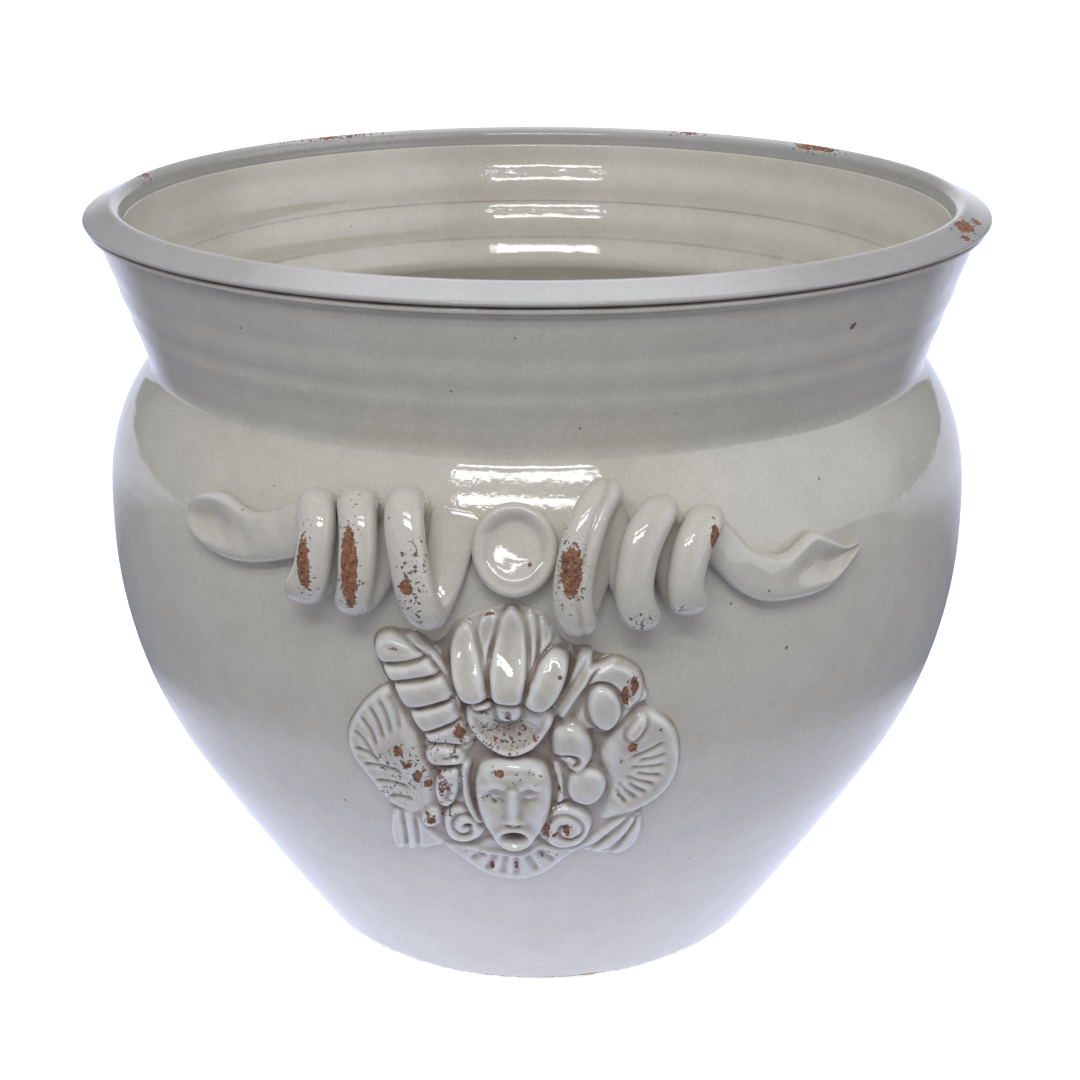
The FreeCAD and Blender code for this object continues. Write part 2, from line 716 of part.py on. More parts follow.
# Places of the sprigs, worked out from the face outwards so that each clears its neighbours by the gap
FOREHEAD = (0.0, size("face_fall") - size("face_half_length"))
JAW = (0.0, size("face_fall") + size("face_half_length"))
DIADEM_FALL = FOREHEAD[1] - size("forehead_radius") - GAP - size("diadem_radius")
CREST = (0.0, DIADEM_FALL - size("diadem_radius") - GAP - HINGE)
SCROLL_REACH = size("scroll_radius") + size("scroll_thickness")
SCROLL = away(FOREHEAD, size("forehead_radius") + GAP + SCROLL_REACH, size("scroll_turn"))
CHEEK_RADIUS = size("cheek_curl_radius")
CHEEK_SIDE = size("forehead_radius") + GAP + CHEEK_RADIUS
CHEEK_TOP = SCROLL[1] + SCROLL_REACH + GAP + CHEEK_RADIUS
CHEEK_END = CHEEK_TOP + 2 * size("cheek_curl_half_length")
VOLUTE_REACH = size("volute_radius") + size("volute_thickness")
VOLUTE = away(JAW, size("jaw_radius") + GAP + VOLUTE_REACH, size("volute_turn"))
SHELL = (CHEEK_SIDE + CHEEK_RADIUS + GAP + HINGE, CHEEK_TOP)
BEAD = (CHEEK_SIDE + CHEEK_RADIUS + GAP + size("bead_radius"), CHEEK_END + size("bead_radius") + GAP)
SPRAY = (VOLUTE[0] + VOLUTE_REACH + GAP + HINGE, VOLUTE[1] + HINGE)
BOTTOM_SHELL = (0.0, JAW[1] + size("jaw_radius") + GAP + HINGE)


def make_face():
    """Plain oval mask with a brow, a nose, two cheeks and a spout mouth."""
    small = size("feature_radius")
    jaw = size("jaw_radius")
    forehead = size("forehead_radius")
    middle = (0.0, size("face_fall"))
    head = tapered_bar(bedded(*JAW, jaw), jaw, bedded(*FOREHEAD, forehead), forehead)
    brow_ends = [at(sign * size("brow_half_length"), FOREHEAD[1], jaw) for _, sign in HANDS]
    brow = tapered_bar(brow_ends[0], small, brow_ends[1], small)
    nose = tapered_bar(at(*FOREHEAD, forehead), small / 2, at(*middle, forehead), small)
    cheeks = [ball(at(sign * size("cheek_side"), middle[1], jaw - small), 1.5 * small) for _, sign in HANDS]
    lips = ball(at(*JAW, jaw), size("mouth_radius") + small / 2)
    drill = at(*JAW, jaw + size("mouth_radius") + small - size("mouth_depth"))
    mouth = Part.makeCylinder(size("mouth_radius"), jaw, drill, wall_normal(0.0, RELIEF_DROP + JAW[1]))
    add_sprig("mask_face", [head, brow, nose, *cheeks, lips], mouth)


def make_crest_and_diadem():
    """Round cap over the mask, and the fluted fan that stands on it."""
    radius = size("diadem_radius")
    ends = [bedded(sign * size("diadem_half_length"), DIADEM_FALL, radius) for _, sign in HANDS]
    add_sprig("diadem", [tapered_bar(ends[0], radius, ends[1], radius)])
    half = size("crest_spread") / 2
    turns = spread(-half, half, int(size("crest_flutes")))
    shorter = size("crest_length") - size("crest_side_length")
    lengths = [size("crest_length") - shorter * abs(turn) / half for turn in turns]
    add_sprig("crest", fan(CREST, turns, lengths, size("crest_tip")))


def make_horn_and_wing():
    """Ringed horn at the upper left, and the club-shaped wing that answers it at the upper right."""
    reach = size("diadem_radius") + GAP
    end = (-size("diadem_half_length"), DIADEM_FALL)
    root_radius = size("horn_root_radius")
    root = away(end, reach + root_radius, -size("horn_root_turn"))
    count = int(size("horn_rings"))
    radii = spread(root_radius, size("horn_tip_radius"), count)
    places = [away(root, step, -size("horn_turn")) for step in spread(0.0, size("horn_length"), count)]
    add_sprig("left_horn", [ball(bedded(*place, radius), radius) for place, radius in zip(places, radii)])
    end = (size("diadem_half_length"), DIADEM_FALL)
    root_radius = size("wing_root_radius")
    tip_radius = size("wing_tip_radius")
    root = away(end, reach + root_radius, size("wing_root_turn"))
    tip = away(root, size("wing_length"), size("wing_turn"))
    near = bedded(*root, root_radius)
    far = bedded(*tip, tip_radius)
    add_sprig("right_wing", [tapered_bar(near, root_radius, far, tip_radius)])


def make_curls():
    """Rolled curls and beads round the mask."""
    add_sprig("right_scroll", curl(SCROLL, size("scroll_radius"), size("scroll_thickness")))
    for hand, sign in HANDS:
        ends = [bedded(sign * CHEEK_SIDE, fall, CHEEK_RADIUS) for fall in (CHEEK_TOP, CHEEK_END)]
        add_sprig(hand + "_cheek_curl", [tapered_bar(ends[0], CHEEK_RADIUS, ends[1], CHEEK_RADIUS)])
        place = (sign * VOLUTE[0], VOLUTE[1])
        add_sprig(hand + "_volute", curl(place, size("volute_radius"), size("volute_thickness")))
    add_sprig("left_bead", [ball(bedded(-BEAD[0], BEAD[1], size("bead_radius")), size("bead_radius"))])


def make_shells():
    """Fluted fans on both sides of the mask and below it, and the ribs under the side fans."""
    count = int(size("shell_flutes"))
    turns = spread(size("shell_first_turn"), size("shell_last_turn"), count)
    lengths = spread(size("shell_first_length"), size("shell_last_length"), count)
    ribs = int(size("spray_ribs"))
    rib_turns = spread(size("spray_first_turn"), size("spray_last_turn"), ribs)
    for hand, sign in HANDS:
        hinge = (sign * SHELL[0], SHELL[1])
        add_sprig(hand + "_shell", fan(hinge, [sign * turn for turn in turns], lengths, size("shell_tip")))
        hinge = (sign * SPRAY[0], SPRAY[1])
        mirrored = [sign * turn for turn in rib_turns]
        add_sprig(hand + "_spray", fan(hinge, mirrored, [size("spray_length")] * ribs, size("spray_tip")))
    half = size("bottom_shell_spread") / 2
    count = int(size("bottom_shell_flutes"))
    turns = spread(HALF_TURN - half, HALF_TURN + half, count)
    lengths = [size("bottom_shell_length")] * count
    add_sprig("bottom_shell", fan(BOTTOM_SHELL, turns, lengths, size("bottom_shell_tip")))


make_face()
make_crest_and_diadem()
make_horn_and_wing()
make_curls()
make_shells()
doc.recompute()

for thing in doc.Objects:
    if "Invalid" in thing.State or "Error" in thing.State:
        raise RuntimeError("%s failed: %s" % (thing.Label, thing.State))
os.makedirs("parts", exist_ok=True)
BODIES = ["belly_bowl", "collar", "rim_coil", "boss"]
FEATURES = [thing.Label for thing in doc.Objects if thing.TypeId == "Part::Feature"]
for label in BODIES + FEATURES:
    shape = doc.getObjectsByLabel(label)[0].Shape
    if shape.isNull() or not shape.isValid():
        raise RuntimeError("%s has no valid shape" % label)
    shape.exportStep("parts/%s.step" % label)
    print("%-18s solids %d volume %.0f" % (label, len(shape.Solids), shape.Volume))
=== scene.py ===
"""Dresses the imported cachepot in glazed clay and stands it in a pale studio.

All sizes are in millimetres in the pot's own frame: +Z up, the relief faces -Y. Places on the belly are given as
(side, z, lift): the arc length to the right of the relief's middle line, the height, and the distance off the wall.
"""
import logging
import math
from dataclasses import dataclass, field
from enum import Enum

import bpy
import numpy as np
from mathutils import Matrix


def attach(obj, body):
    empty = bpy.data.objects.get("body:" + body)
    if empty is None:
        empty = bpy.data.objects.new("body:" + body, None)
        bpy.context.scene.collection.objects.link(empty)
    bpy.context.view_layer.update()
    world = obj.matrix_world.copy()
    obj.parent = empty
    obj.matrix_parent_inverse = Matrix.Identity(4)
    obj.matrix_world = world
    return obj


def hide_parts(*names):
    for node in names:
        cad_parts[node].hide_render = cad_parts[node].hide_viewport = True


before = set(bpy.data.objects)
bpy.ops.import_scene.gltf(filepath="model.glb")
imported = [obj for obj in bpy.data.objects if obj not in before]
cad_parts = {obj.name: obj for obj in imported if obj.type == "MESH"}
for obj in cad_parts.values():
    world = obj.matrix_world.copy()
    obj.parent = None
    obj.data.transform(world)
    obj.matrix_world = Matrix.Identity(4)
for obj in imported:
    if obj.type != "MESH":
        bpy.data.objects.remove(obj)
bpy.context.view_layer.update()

LOG = logging.getLogger("cachepot")
MM = 0.001
TURN = 2.0 * math.pi
Array = np.ndarray
Place = tuple[float, float]
Point = tuple[float, float, float]
Colour = tuple[float, float, float]
# cavity darkens hollows, seams and joints: pooled glaze and dark joint lines, with painted shade in hollows and
# under overhangs; edge pales raised edges as a painted highlight
LAYERS = ("chip", "speck", "cavity", "edge")
SPAN_STEPS = 24
BLUR_REACH = 2.5
TINY = 1e-9


class Slot(str, Enum):
    """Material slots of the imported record."""

    BODY = "body_glaze"
    RIM = "rim_glaze"
    RELIEF = "relief_glaze"


# Curves and fields


def smooth_line(points: list[Place] | Array, count: int, closed: bool = False) -> Array:
    """Even points on the Catmull-Rom curve through the given points.

    Each span is the cubic 0.5 * (2b + (c - a)t + (2a - 5b + 4c - d)t^2 + (3b - a - 3c + d)t^3) of four neighbours.

    Args:
        points: Control points, one row each.
        count: Number of points to give back.
        closed: Whether the curve returns to its first point.

    Returns:
        The points, evenly spaced along the curve.
    """
    knots = np.asarray(points, float)
    ring = np.vstack([knots[-1], knots, knots[:2]]) if closed else np.vstack([knots[0], knots, knots[-1]])
    t = np.linspace(0.0, 1.0, SPAN_STEPS, endpoint=False)[None, :, None]
    a, b, c, d = (ring[n:len(ring) - 3 + n, None, :] for n in range(4))
    spans = 0.5 * (2 * b + (c - a) * t + (2 * a - 5 * b + 4 * c - d) * t**2 + (3 * b - a - 3 * c + d) * t**3)
    dense = np.vstack([spans.reshape(-1, knots.shape[1]), ring[-2]])
    return even_line(dense, count + 1)[:-1] if closed else even_line(dense, count)


def even_line(dense: Array, count: int) -> Array:
    """Points at even steps of arc length along a dense line.

    Args:
        dense: Line with many points, one row each.
        count: Number of points to give back.

    Returns:
        The resampled line, with both ends kept.
    """
    run = np.concatenate([[0.0], np.cumsum(np.linalg.norm(np.diff(dense, axis=0), axis=1))])
    steps = np.linspace(0.0, run[-1], count)
    return np.stack([np.interp(steps, run, column) for column in dense.T], axis=1)


def line_distance(x: Array, y: Array, line: Array) -> tuple[Array, Array]:
    """Distance of grid points to a line, and the share of its length where the nearest point lies.

    Args:
        x: Grid of side coordinates.
        y: Grid of heights.
        line: Points of the line, one row each.

    Returns:
        Distances and shares, both shaped like the grid.
    """
    start, step = line[:-1], np.diff(line, axis=0)
    length = np.maximum((step**2).sum(axis=1), TINY)
    dx, dy = x.ravel()[:, None] - start[:, 0], y.ravel()[:, None] - start[:, 1]
    share = np.clip((dx * step[:, 0] + dy * step[:, 1]) / length, 0.0, 1.0)
    square = (dx - share * step[:, 0]) ** 2 + (dy - share * step[:, 1]) ** 2
    best = square.argmin(axis=1)
    rows = np.arange(len(best))
    along = (best + share[rows, best]) / len(step)
    return np.sqrt(square[rows, best]).reshape(x.shape), along.reshape(x.shape)


def loop_depth(x: Array, y: Array, loop: Array) -> Array:
    """Signed distance of grid points to a closed line: positive inside, by the crossings of a ray to the right.

    Args:
        x: Grid of side coordinates.
        y: Grid of heights.
        loop: Points of the closed line, one row each.

    Returns:
        Distances shaped like the grid.
    """
    ring = np.vstack([loop, loop[:1]])
    distance, _ = line_distance(x, y, ring)
    low, high = ring[:-1], ring[1:]
    px, py = x.ravel()[:, None], y.ravel()[:, None]
    spans = (low[:, 1] > py) != (high[:, 1] > py)
    rise = np.where(np.abs(high[:, 1] - low[:, 1]) < TINY, TINY, high[:, 1] - low[:, 1])
    meets = low[:, 0] + (py - low[:, 1]) * (high[:, 0] - low[:, 0]) / rise
    inside = ((spans & (px < meets)).sum(axis=1) % 2 == 1).reshape(x.shape)
    return np.where(inside, distance, -distance)


def blur(grid: Array, sigma: float) -> Array:
    """Gaussian average of a grid, exp(-n^2 / 2 sigma^2) along each axis in turn.

    Args:
        grid: Values to soften.
        sigma: Width in cells.

    Returns:
        The softened grid.
    """
    reach = max(1, int(math.ceil(BLUR_REACH * sigma)))
    weights = np.exp(-0.5 * (np.arange(-reach, reach + 1) / sigma) ** 2)
    weights /= weights.sum()
    for axis in (0, 1):
        pad = [(reach, reach) if n == axis else (0, 0) for n in (0, 1)]
        wide = np.pad(grid, pad, mode="edge")
        size = grid.shape[axis]
        grid = sum(w * np.take(wide, np.arange(n, n + size), axis=axis) for n, w in enumerate(weights))
    return grid


def ramp(value: Array, low: float, high: float) -> Array:
    """Smooth step 3t^2 - 2t^3 from 0 at low to 1 at high."""
    t = np.clip((value - low) / (high - low), 0.0, 1.0)
    return t * t * (3.0 - 2.0 * t)


def bell(value: Array, middle: float, width: float) -> Array:
    """Bell exp(-((value - middle) / width)^2)."""
    return np.exp(-(((value - middle) / width) ** 2))


def squared_off(wave: Array, power: float) -> Array:
    """Sine or cosine with flattened or sharpened crests, sign(w) |w|^power."""
    return np.sign(wave) * np.abs(wave) ** power


def unevenness(x: Array, y: Array, size: float) -> Array:
    """Hand-made ripple between about -1 and 1: four crossed sine waves whose lengths are near the given size."""
    u, v = TURN * x / size, TURN * y / size
    waves = np.sin(0.83 * u + 0.41 * v + 1.3) + np.sin(-0.37 * u + 0.91 * v + 0.4)
    return 0.35 * (waves + np.sin(0.62 * u - 0.71 * v + 2.2) + np.sin(1.27 * u + 1.13 * v + 4.1))


# Meshes


@dataclass
class Skin:
    """Closed surface in millimetres, with values painted on its points and hard edges between pairs of them."""

    points: Array
    quads: Array
    triangles: Array
    paint: dict[str, Array] = field(default_factory=dict)
    sharp: Array = field(default_factory=lambda: np.zeros((0, 2), int))

    def turned_out(self) -> "Skin":
        """The same surface with its faces outward: the sum of corner products a . (b x c) is made positive."""
        corners = np.vstack([self.quads[:, [0, 1, 2]], self.quads[:, [0, 2, 3]], self.triangles])
        a, b, c = (self.points[corners[:, n]] for n in range(3))
        if float((a * np.cross(b, c)).sum()) >= 0.0:
            return self
        return Skin(self.points, self.quads[:, ::-1], self.triangles[:, ::-1], self.paint, self.sharp)

    def piece(self, name: str, material: bpy.types.Material, slot: Slot) -> bpy.types.Object:
        """Makes the surface a shown piece that stands for the CAD node of the same name.

        Args:
            name: The node's name, which the piece takes over.
            material: Finish of the piece.
            slot: The record's material slot; not used.

        Returns:
            The new object, at the origin and riding on the root body.
        """
        skin = self.turned_out()
        mesh = bpy.data.meshes.new(name + "_clay")
        mesh.vertices.add(len(skin.points))
        mesh.vertices.foreach_set("co", (skin.points * MM).astype(np.float32).ravel())
        corners = np.concatenate([skin.quads.ravel(), skin.triangles.ravel()]).astype(np.int32)
        counts = np.concatenate([np.full(len(skin.quads), 4), np.full(len(skin.triangles), 3)])
        mesh.loops.add(len(corners))
        mesh.loops.foreach_set("vertex_index", corners)
        mesh.polygons.add(len(counts))
        mesh.polygons.foreach_set("loop_start", np.concatenate([[0], np.cumsum(counts)[:-1]]).astype(np.int32))
        mesh.update(calc_edges=True)
        mesh.shade_smooth()
        if len(skin.sharp):
            ends = np.empty(2 * len(mesh.edges), np.int32)
            mesh.edges.foreach_get("vertices", ends)
            size = len(skin.points)
            pairs, marked = np.sort(ends.reshape(-1, 2).astype(int), axis=1), np.sort(skin.sharp, axis=1)
            hard = np.isin(pairs[:, 0] * size + pairs[:, 1], marked[:, 0] * size + marked[:, 1])
            mesh.attributes.new("sharp_edge", "BOOLEAN", "EDGE").data.foreach_set("value", hard)
        for layer in LAYERS:
            values = skin.paint.get(layer, np.zeros(len(skin.points)))
            attribute = mesh.attributes.new(layer, "FLOAT", "POINT")
            attribute.data.foreach_set("value", values.astype(np.float32))
        mesh.materials.append(material)
        thing = bpy.data.objects.new(name + "_clay", mesh)
        bpy.context.scene.collection.objects.link(thing)
        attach(thing, "root")
        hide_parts(name)
        LOG.info("%s: %d points, %d faces", name, len(skin.points), len(counts))
        return thing


def grid_faces(rows: int, columns: int, wrap_rows: bool, wrap_columns: bool) -> Array:
    """Four-cornered faces of a grid of points that is numbered row by row.

    Args:
        rows: Number of rows.
        columns: Number of columns.
        wrap_rows: Whether the last row joins the first.
        wrap_columns: Whether the last column joins the first.

    Returns:
        Point numbers, one face per row.
    """
    r = np.arange(rows if wrap_rows else rows - 1)[:, None]
    c = np.arange(columns if wrap_columns else columns - 1)[None, :]
    below, beside = (r + 1) % rows, (c + 1) % columns
    faces = np.stack(
        np.broadcast_arrays(r * columns + c, r * columns + beside, below * columns + beside, below * columns + c))
    return faces.reshape(4, -1).T


def tube_skin(rings: Array, paint: dict[str, Array]) -> Skin:
    """Closed tube over rings of points: both end rings are closed by a fan to their middle.

    Args:
        rings: Points as (ring, place on the ring, xyz).
        paint: Values shaped like the rings without xyz.

    Returns:
        The surface.
    """
    count, around = rings.shape[:2]
    points = np.vstack([rings.reshape(-1, 3), rings[0].mean(axis=0), rings[-1].mean(axis=0)])
    spot = np.arange(around)
    after = (spot + 1) % around
    first, last = count * around, count * around + 1
    tail = (count - 1) * around
    fans = np.vstack([
        np.stack([np.full(around, first), after, spot], axis=1),
        np.stack([np.full(around, last), tail + spot, tail + after], axis=1),
    ])
    painted = {k: np.concatenate([v.ravel(), [v[0].mean(), v[-1].mean()]]) for k, v in paint.items()}
    return Skin(points, grid_faces(count, around, False, True), fans, painted)


# The pot's wall


@dataclass(frozen=True)
class Wall:
    """Outside of the belly bowl: a flank arc, a belly arc and a round shoulder that meet without a corner.

    The shoulder's radius falls by inset * s^p at the share s of its height: it turns in just under the crease.
    """

    base_radius: float = 110.0
    belly_radius: float = 196.0
    belly_height: float = 196.0
    belly_arc: float = 205.0
    flank_height: float = 92.0
    shoulder_height: float = 73.0
    neck_inset: float = 22.0
    shoulder_power: float = 3.0
    ornament_drop: float = 3.0
    drop_span: Place = (140.0, 225.0)

    @property
    def neck_height(self) -> float:
        """Height of the crease between belly and collar."""
        return self.belly_height + self.shoulder_height

    def flank(self, foot: Place, inset: float) -> tuple[float, float, float]:
        """Middle and radius of the arc that is tangent to the belly arc at the flank's top and ends at the foot.

        Args:
            foot: Radius and height of the wall's foot.
            inset: How far this wall line lies inside the outer one.

        Returns:
            Middle radius, middle height and arc radius, which is negative where the arc bulges out.
        """
        middle = self.belly_radius - inset - self.belly_arc
        fall = self.flank_height - self.belly_height
        top = middle + math.sqrt(self.belly_arc**2 - fall**2)
        nr, nz = (top - middle) / self.belly_arc, fall / self.belly_arc
        dr, dz = top - foot[0], self.flank_height - foot[1]
        reach = -(dr * dr + dz * dz) / (2 * (nr * dr + nz * dz))
        return top + reach * nr, self.flank_height + reach * nz, reach

    def radius(self, z: Array, foot: Place | None = None, inset: float = 0.0) -> Array:
        """Radius at each height: middle plus the root of arc^2 - (height above the arc's middle)^2 below the belly.

        Args:
            z: Heights.
            foot: Foot of the wall line, or None for the outer wall.
            inset: How far the line lies inside the outer one.

        Returns:
            Radii shaped like the heights.
        """
        mr, mz, reach = self.flank(foot or (self.base_radius, 0.0), inset)
        above = z - self.belly_height
        belly = np.sqrt(np.maximum(self.belly_arc**2 - above**2, 0.0)) - self.belly_arc
        fall = self.neck_inset * np.clip(above / self.shoulder_height, 0.0, None) ** self.shoulder_power
        upper = self.belly_radius - inset + np.where(above < 0, belly, -fall)
        lower = mr - math.copysign(1.0, reach) * np.sqrt(np.maximum(reach**2 - (z - mz) ** 2, 0.0))
        return np.where(z < self.flank_height, lower, upper)

    def slope(self, z: Array) -> Array:
        """Angle of the outward normal above the horizontal, from the arcs and from the shoulder's steepness."""
        _, mz, reach = self.flank((self.base_radius, 0.0), 0.0)
        above = z - self.belly_height
        share = np.clip(above / self.shoulder_height, 0.0, None)
        steep = self.neck_inset / self.shoulder_height * self.shoulder_power * share ** (self.shoulder_power - 1.0)
        upper = np.where(above < 0, np.arcsin(np.clip(above / self.belly_arc, -1.0, 1.0)), np.arctan(steep))
        return np.where(z < self.flank_height, np.arcsin(np.clip((mz - z) / reach, -1.0, 1.0)), upper)

    def drop(self, z: Array) -> Array:
        """How much lower than its named height an ornament sits: from nothing below the belly to the full drop."""
        return self.ornament_drop * ramp(np.asarray(z, float), *self.drop_span)

    def point(self, side: Array, z: Array, lift: Array) -> Array:
        """Points of the frame for places on the wall: the wall's point plus lift times its outward normal.

        Args:
            side: Arc lengths to the right of the relief's middle line.
            z: Heights on the wall.
            lift: Distances off the wall.

        Returns:
            Points with xyz on the last axis.
        """
        z = z - self.drop(z)
        radius, slope = self.radius(z), self.slope(z)
        turn = side / radius
        out = radius + lift * np.cos(slope)
        return np.stack([out * np.sin(turn), -out * np.cos(turn), z + lift * np.sin(slope)], axis=-1)


WALL = Wall()


@dataclass(frozen=True)
class Chip:
    """Patch where the glaze has flaked off, at a place on the relief, with specks scattered round it."""

    side: float
    z: float
    half_side: float
    half_z: float
    depth: float = 1.0
    specks: float = 0.3

    def reach(self, side: Array, z: Array) -> Array:
        """Squared distance u^2 + v^2 from the patch's middle in half sizes."""
        return ((side - self.side) / self.half_side) ** 2 + ((z - self.z) / self.half_z) ** 2


def worn(chips: list[Chip], side: Array, z: Array, share: Array | float) -> dict[str, Array]:
    """Painted wear: bare clay by depth * exp(-q^3) and specks by specks * exp(-q^2 / 4), q being a chip's reach.

    Args:
        chips: Flaked patches.
        side: Arc lengths to the right of the relief's middle line.
        z: Heights on the wall.
        share: How much of the wear shows at each place.

    Returns:
        Largest likelihoods of bare clay and of specks at each place.
    """
    near = [(chip, chip.reach(side, z)) for chip in chips]
    none = np.zeros_like(side)
    bare = np.max([none, *(chip.depth * np.exp(-(q**3)) for chip, q in near)], axis=0)
    specks = np.max([none, *(chip.specks * np.exp(-0.25 * q**2) for chip, q in near)], axis=0)
    return {"chip": bare * share, "speck": specks * share}


# Thrown sections of the pot


@dataclass(frozen=True)
class Flake:
    """Patch of the rim without glaze, at an angle round the pot, a radius and a height."""

    angle: float
    radius: float
    z: float
    half_angle: float
    reach: float
    depth: float

    def distance(self, angle: Array, r: Array, z: Array) -> Array:
        """Squared distance from the patch's middle in half sizes."""
        across = ((r - self.radius) ** 2 + (z - self.z) ** 2) / self.reach**2
        return ((angle - self.angle) / self.half_angle) ** 2 + across


@dataclass
class Vessel:
    """Bowl, collar and rim coil, turned about the pot's axis."""

    floor_thickness: float = 14.0
    floor_inset: float = 6.0
    wall_thickness: float = 11.0
    foot_round: float = 2.5
    collar_base: float = 174.0
    collar_top: float = 194.3
    bead_low: float = 329.3
    seat_height: float = 332.6
    bead_radius: float = 197.9
    mouth_radius: float = 183.4
    neck_round: float = 4.0
    segments: int = 320
    bowl_rows: int = 176
    bowl_inner_rows: int = 96
    collar_rows: int = 72
    collar_inner_rows: int = 84
    rim_rows: int = 72
    sway: float = 0.18
    rim_sway: float = 0.28
    bowl_lines: float = 0.02
    collar_lines: float = 0.03
    inside_lines: float = 0.012
    ripple_depth: float = 0.5
    ripple_pitch: float = 19.5
    ripple_phase: float = -1.772
    ridge_heights: tuple[float, ...] = (319.0, 303.5, 292.0, 283.0)
    ridge_reliefs: tuple[float, ...] = (0.16, 0.36, 0.36, 0.2)
    ridge_width: float = 4.6
    inner_lines: tuple[float, ...] = (284.5, 303.0)
    rim_knots: tuple[Place, ...] = (
        (183.4, 331.2), (183.2, 334.5), (183.4, 336.9), (184.2, 338.4), (185.8, 339.7), (187.0, 340.3),
        (188.3, 340.2), (190.0, 339.4), (194.0, 337.5), (197.6, 335.9), (199.4, 335.0), (199.9, 334.2),
        (199.5, 333.4), (198.0, 332.9), (194.0, 332.3), (188.0, 331.6))
    rim_flakes: tuple[Flake, ...] = (
        Flake(1.20, 192.0, 338.0, 0.05, 4.5, 0.95), Flake(1.29, 194.5, 337.2, 0.02, 3.0, 0.9),
        Flake(1.13, 196.5, 336.4, 0.02, 2.5, 0.8), Flake(0.12, 184.4, 339.6, 0.14, 1.6, 0.62),
        Flake(0.42, 184.6, 339.6, 0.03, 1.6, 0.6), Flake(2.32, 185.5, 339.5, 0.09, 2.5, 0.7),
        Flake(-1.72, 187.0, 339.5, 0.06, 3.0, 0.5), Flake(-2.5, 187.0, 339.5, 0.2, 3.0, 0.42),
        Flake(2.75, 186.0, 339.5, 0.05, 2.0, 0.5))
    rim_speck_share: float = 0.45

    def ring(self, profile: Array, closed: bool, sway: float, paint: dict[str, Array],
             corners: tuple[int, ...] = ()) -> Skin:
        """Turns a profile about the axis, with the slow out-of-round of thrown clay.

        The radius gains sway * (sin(2a + 0.6) + 0.5 sin(3a + 2) + 0.25 sin(7a + z / 40)), less near the axis.

        Args:
            profile: Radius and height, one row each; a closed profile joins its ends, an open one ends on the axis.
            closed: Whether the profile is a closed loop.
            sway: Size of the out-of-round.
            paint: Values per (profile point, angle).
            corners: Profile points whose ring is a hard edge.

        Returns:
            The surface.
        """
        angle = self.angles()
        r, z = profile[:, :1], profile[:, 1:]
        drift = np.sin(2 * angle + 0.6) + 0.5 * np.sin(3 * angle + 2.0) + 0.25 * np.sin(7 * angle + z / 40.0)
        out = r + sway * drift * np.minimum(1.0, r / 60.0)
        points = np.stack([out * np.sin(angle), -out * np.cos(angle), z + 0.0 * angle], axis=-1)
        spot = np.asarray(corners, int)[:, None] * self.segments + np.arange(self.segments)
        sharp = np.stack([spot, np.roll(spot, -1, axis=1)], axis=-1).reshape(-1, 2)
        if closed:
            faces = grid_faces(len(profile), self.segments, True, True)
            painted = {k: v.ravel() for k, v in paint.items()}
            return Skin(points.reshape(-1, 3), faces, np.zeros((0, 3), int), painted, sharp)
        skin = tube_skin(points, paint)
        skin.sharp = sharp
        return skin

    def angles(self) -> Array:
        """Angles round the pot from the relief's middle line to the right, between -pi and pi."""
        turn = np.linspace(0.0, TURN, self.segments, endpoint=False)[None, :]
        return (turn + math.pi) % TURN - math.pi

    def spread(self, profile: Array) -> tuple[Array, Array]:
        """Radius and height of the profile at every angle."""
        return tuple(np.repeat(profile[:, n:n + 1], self.segments, axis=1) for n in (0, 1))

    def throwing_lines(self, z: Array, relief: float) -> Array:
        """Faint finger lines of the wheel: three sine waves of unlike pitch along the height."""
        lines = np.sin(TURN * z / 13.0 + 0.5) + 0.7 * np.sin(TURN * z / 7.3 + 1.1) + 0.5 * np.sin(TURN * z / 4.1)
        return relief * lines

    def neck_blend(self, shoulder: Array, collar: Array) -> Array:
        """Soft maximum (a + b) / 2 + sqrt((a - b)^2 + w^2) / 2 of the shoulder's and the collar's radius."""
        return 0.5 * (shoulder + collar) + 0.5 * np.sqrt((shoulder - collar) ** 2 + self.neck_round**2)

    def outside(self, z: Array) -> Array:
        """Outer radius of shoulder and collar, with the glaze that fills the crease between them."""
        share = (z - WALL.neck_height) / (self.bead_low - WALL.neck_height)
        return self.neck_blend(WALL.radius(z), self.collar_base + share * (self.collar_top - self.collar_base))

    def inside(self, z: Array) -> Array:
        """Inner radius of bowl and collar: a rounded ridge between them, faint lines and the wheel's ripple."""
        foot = (WALL.base_radius - self.floor_inset, self.floor_thickness)
        share = (z - WALL.neck_height) / (self.seat_height - WALL.neck_height)
        low = self.collar_base - self.wall_thickness
        bowl = WALL.radius(z, foot, self.wall_thickness)
        smooth = self.neck_blend(bowl, low + share * (self.mouth_radius - low))
        ripple = self.ripple_depth * np.sin(TURN * z / self.ripple_pitch + self.ripple_phase)
        return smooth + self.throwing_lines(z, self.inside_lines) + ripple

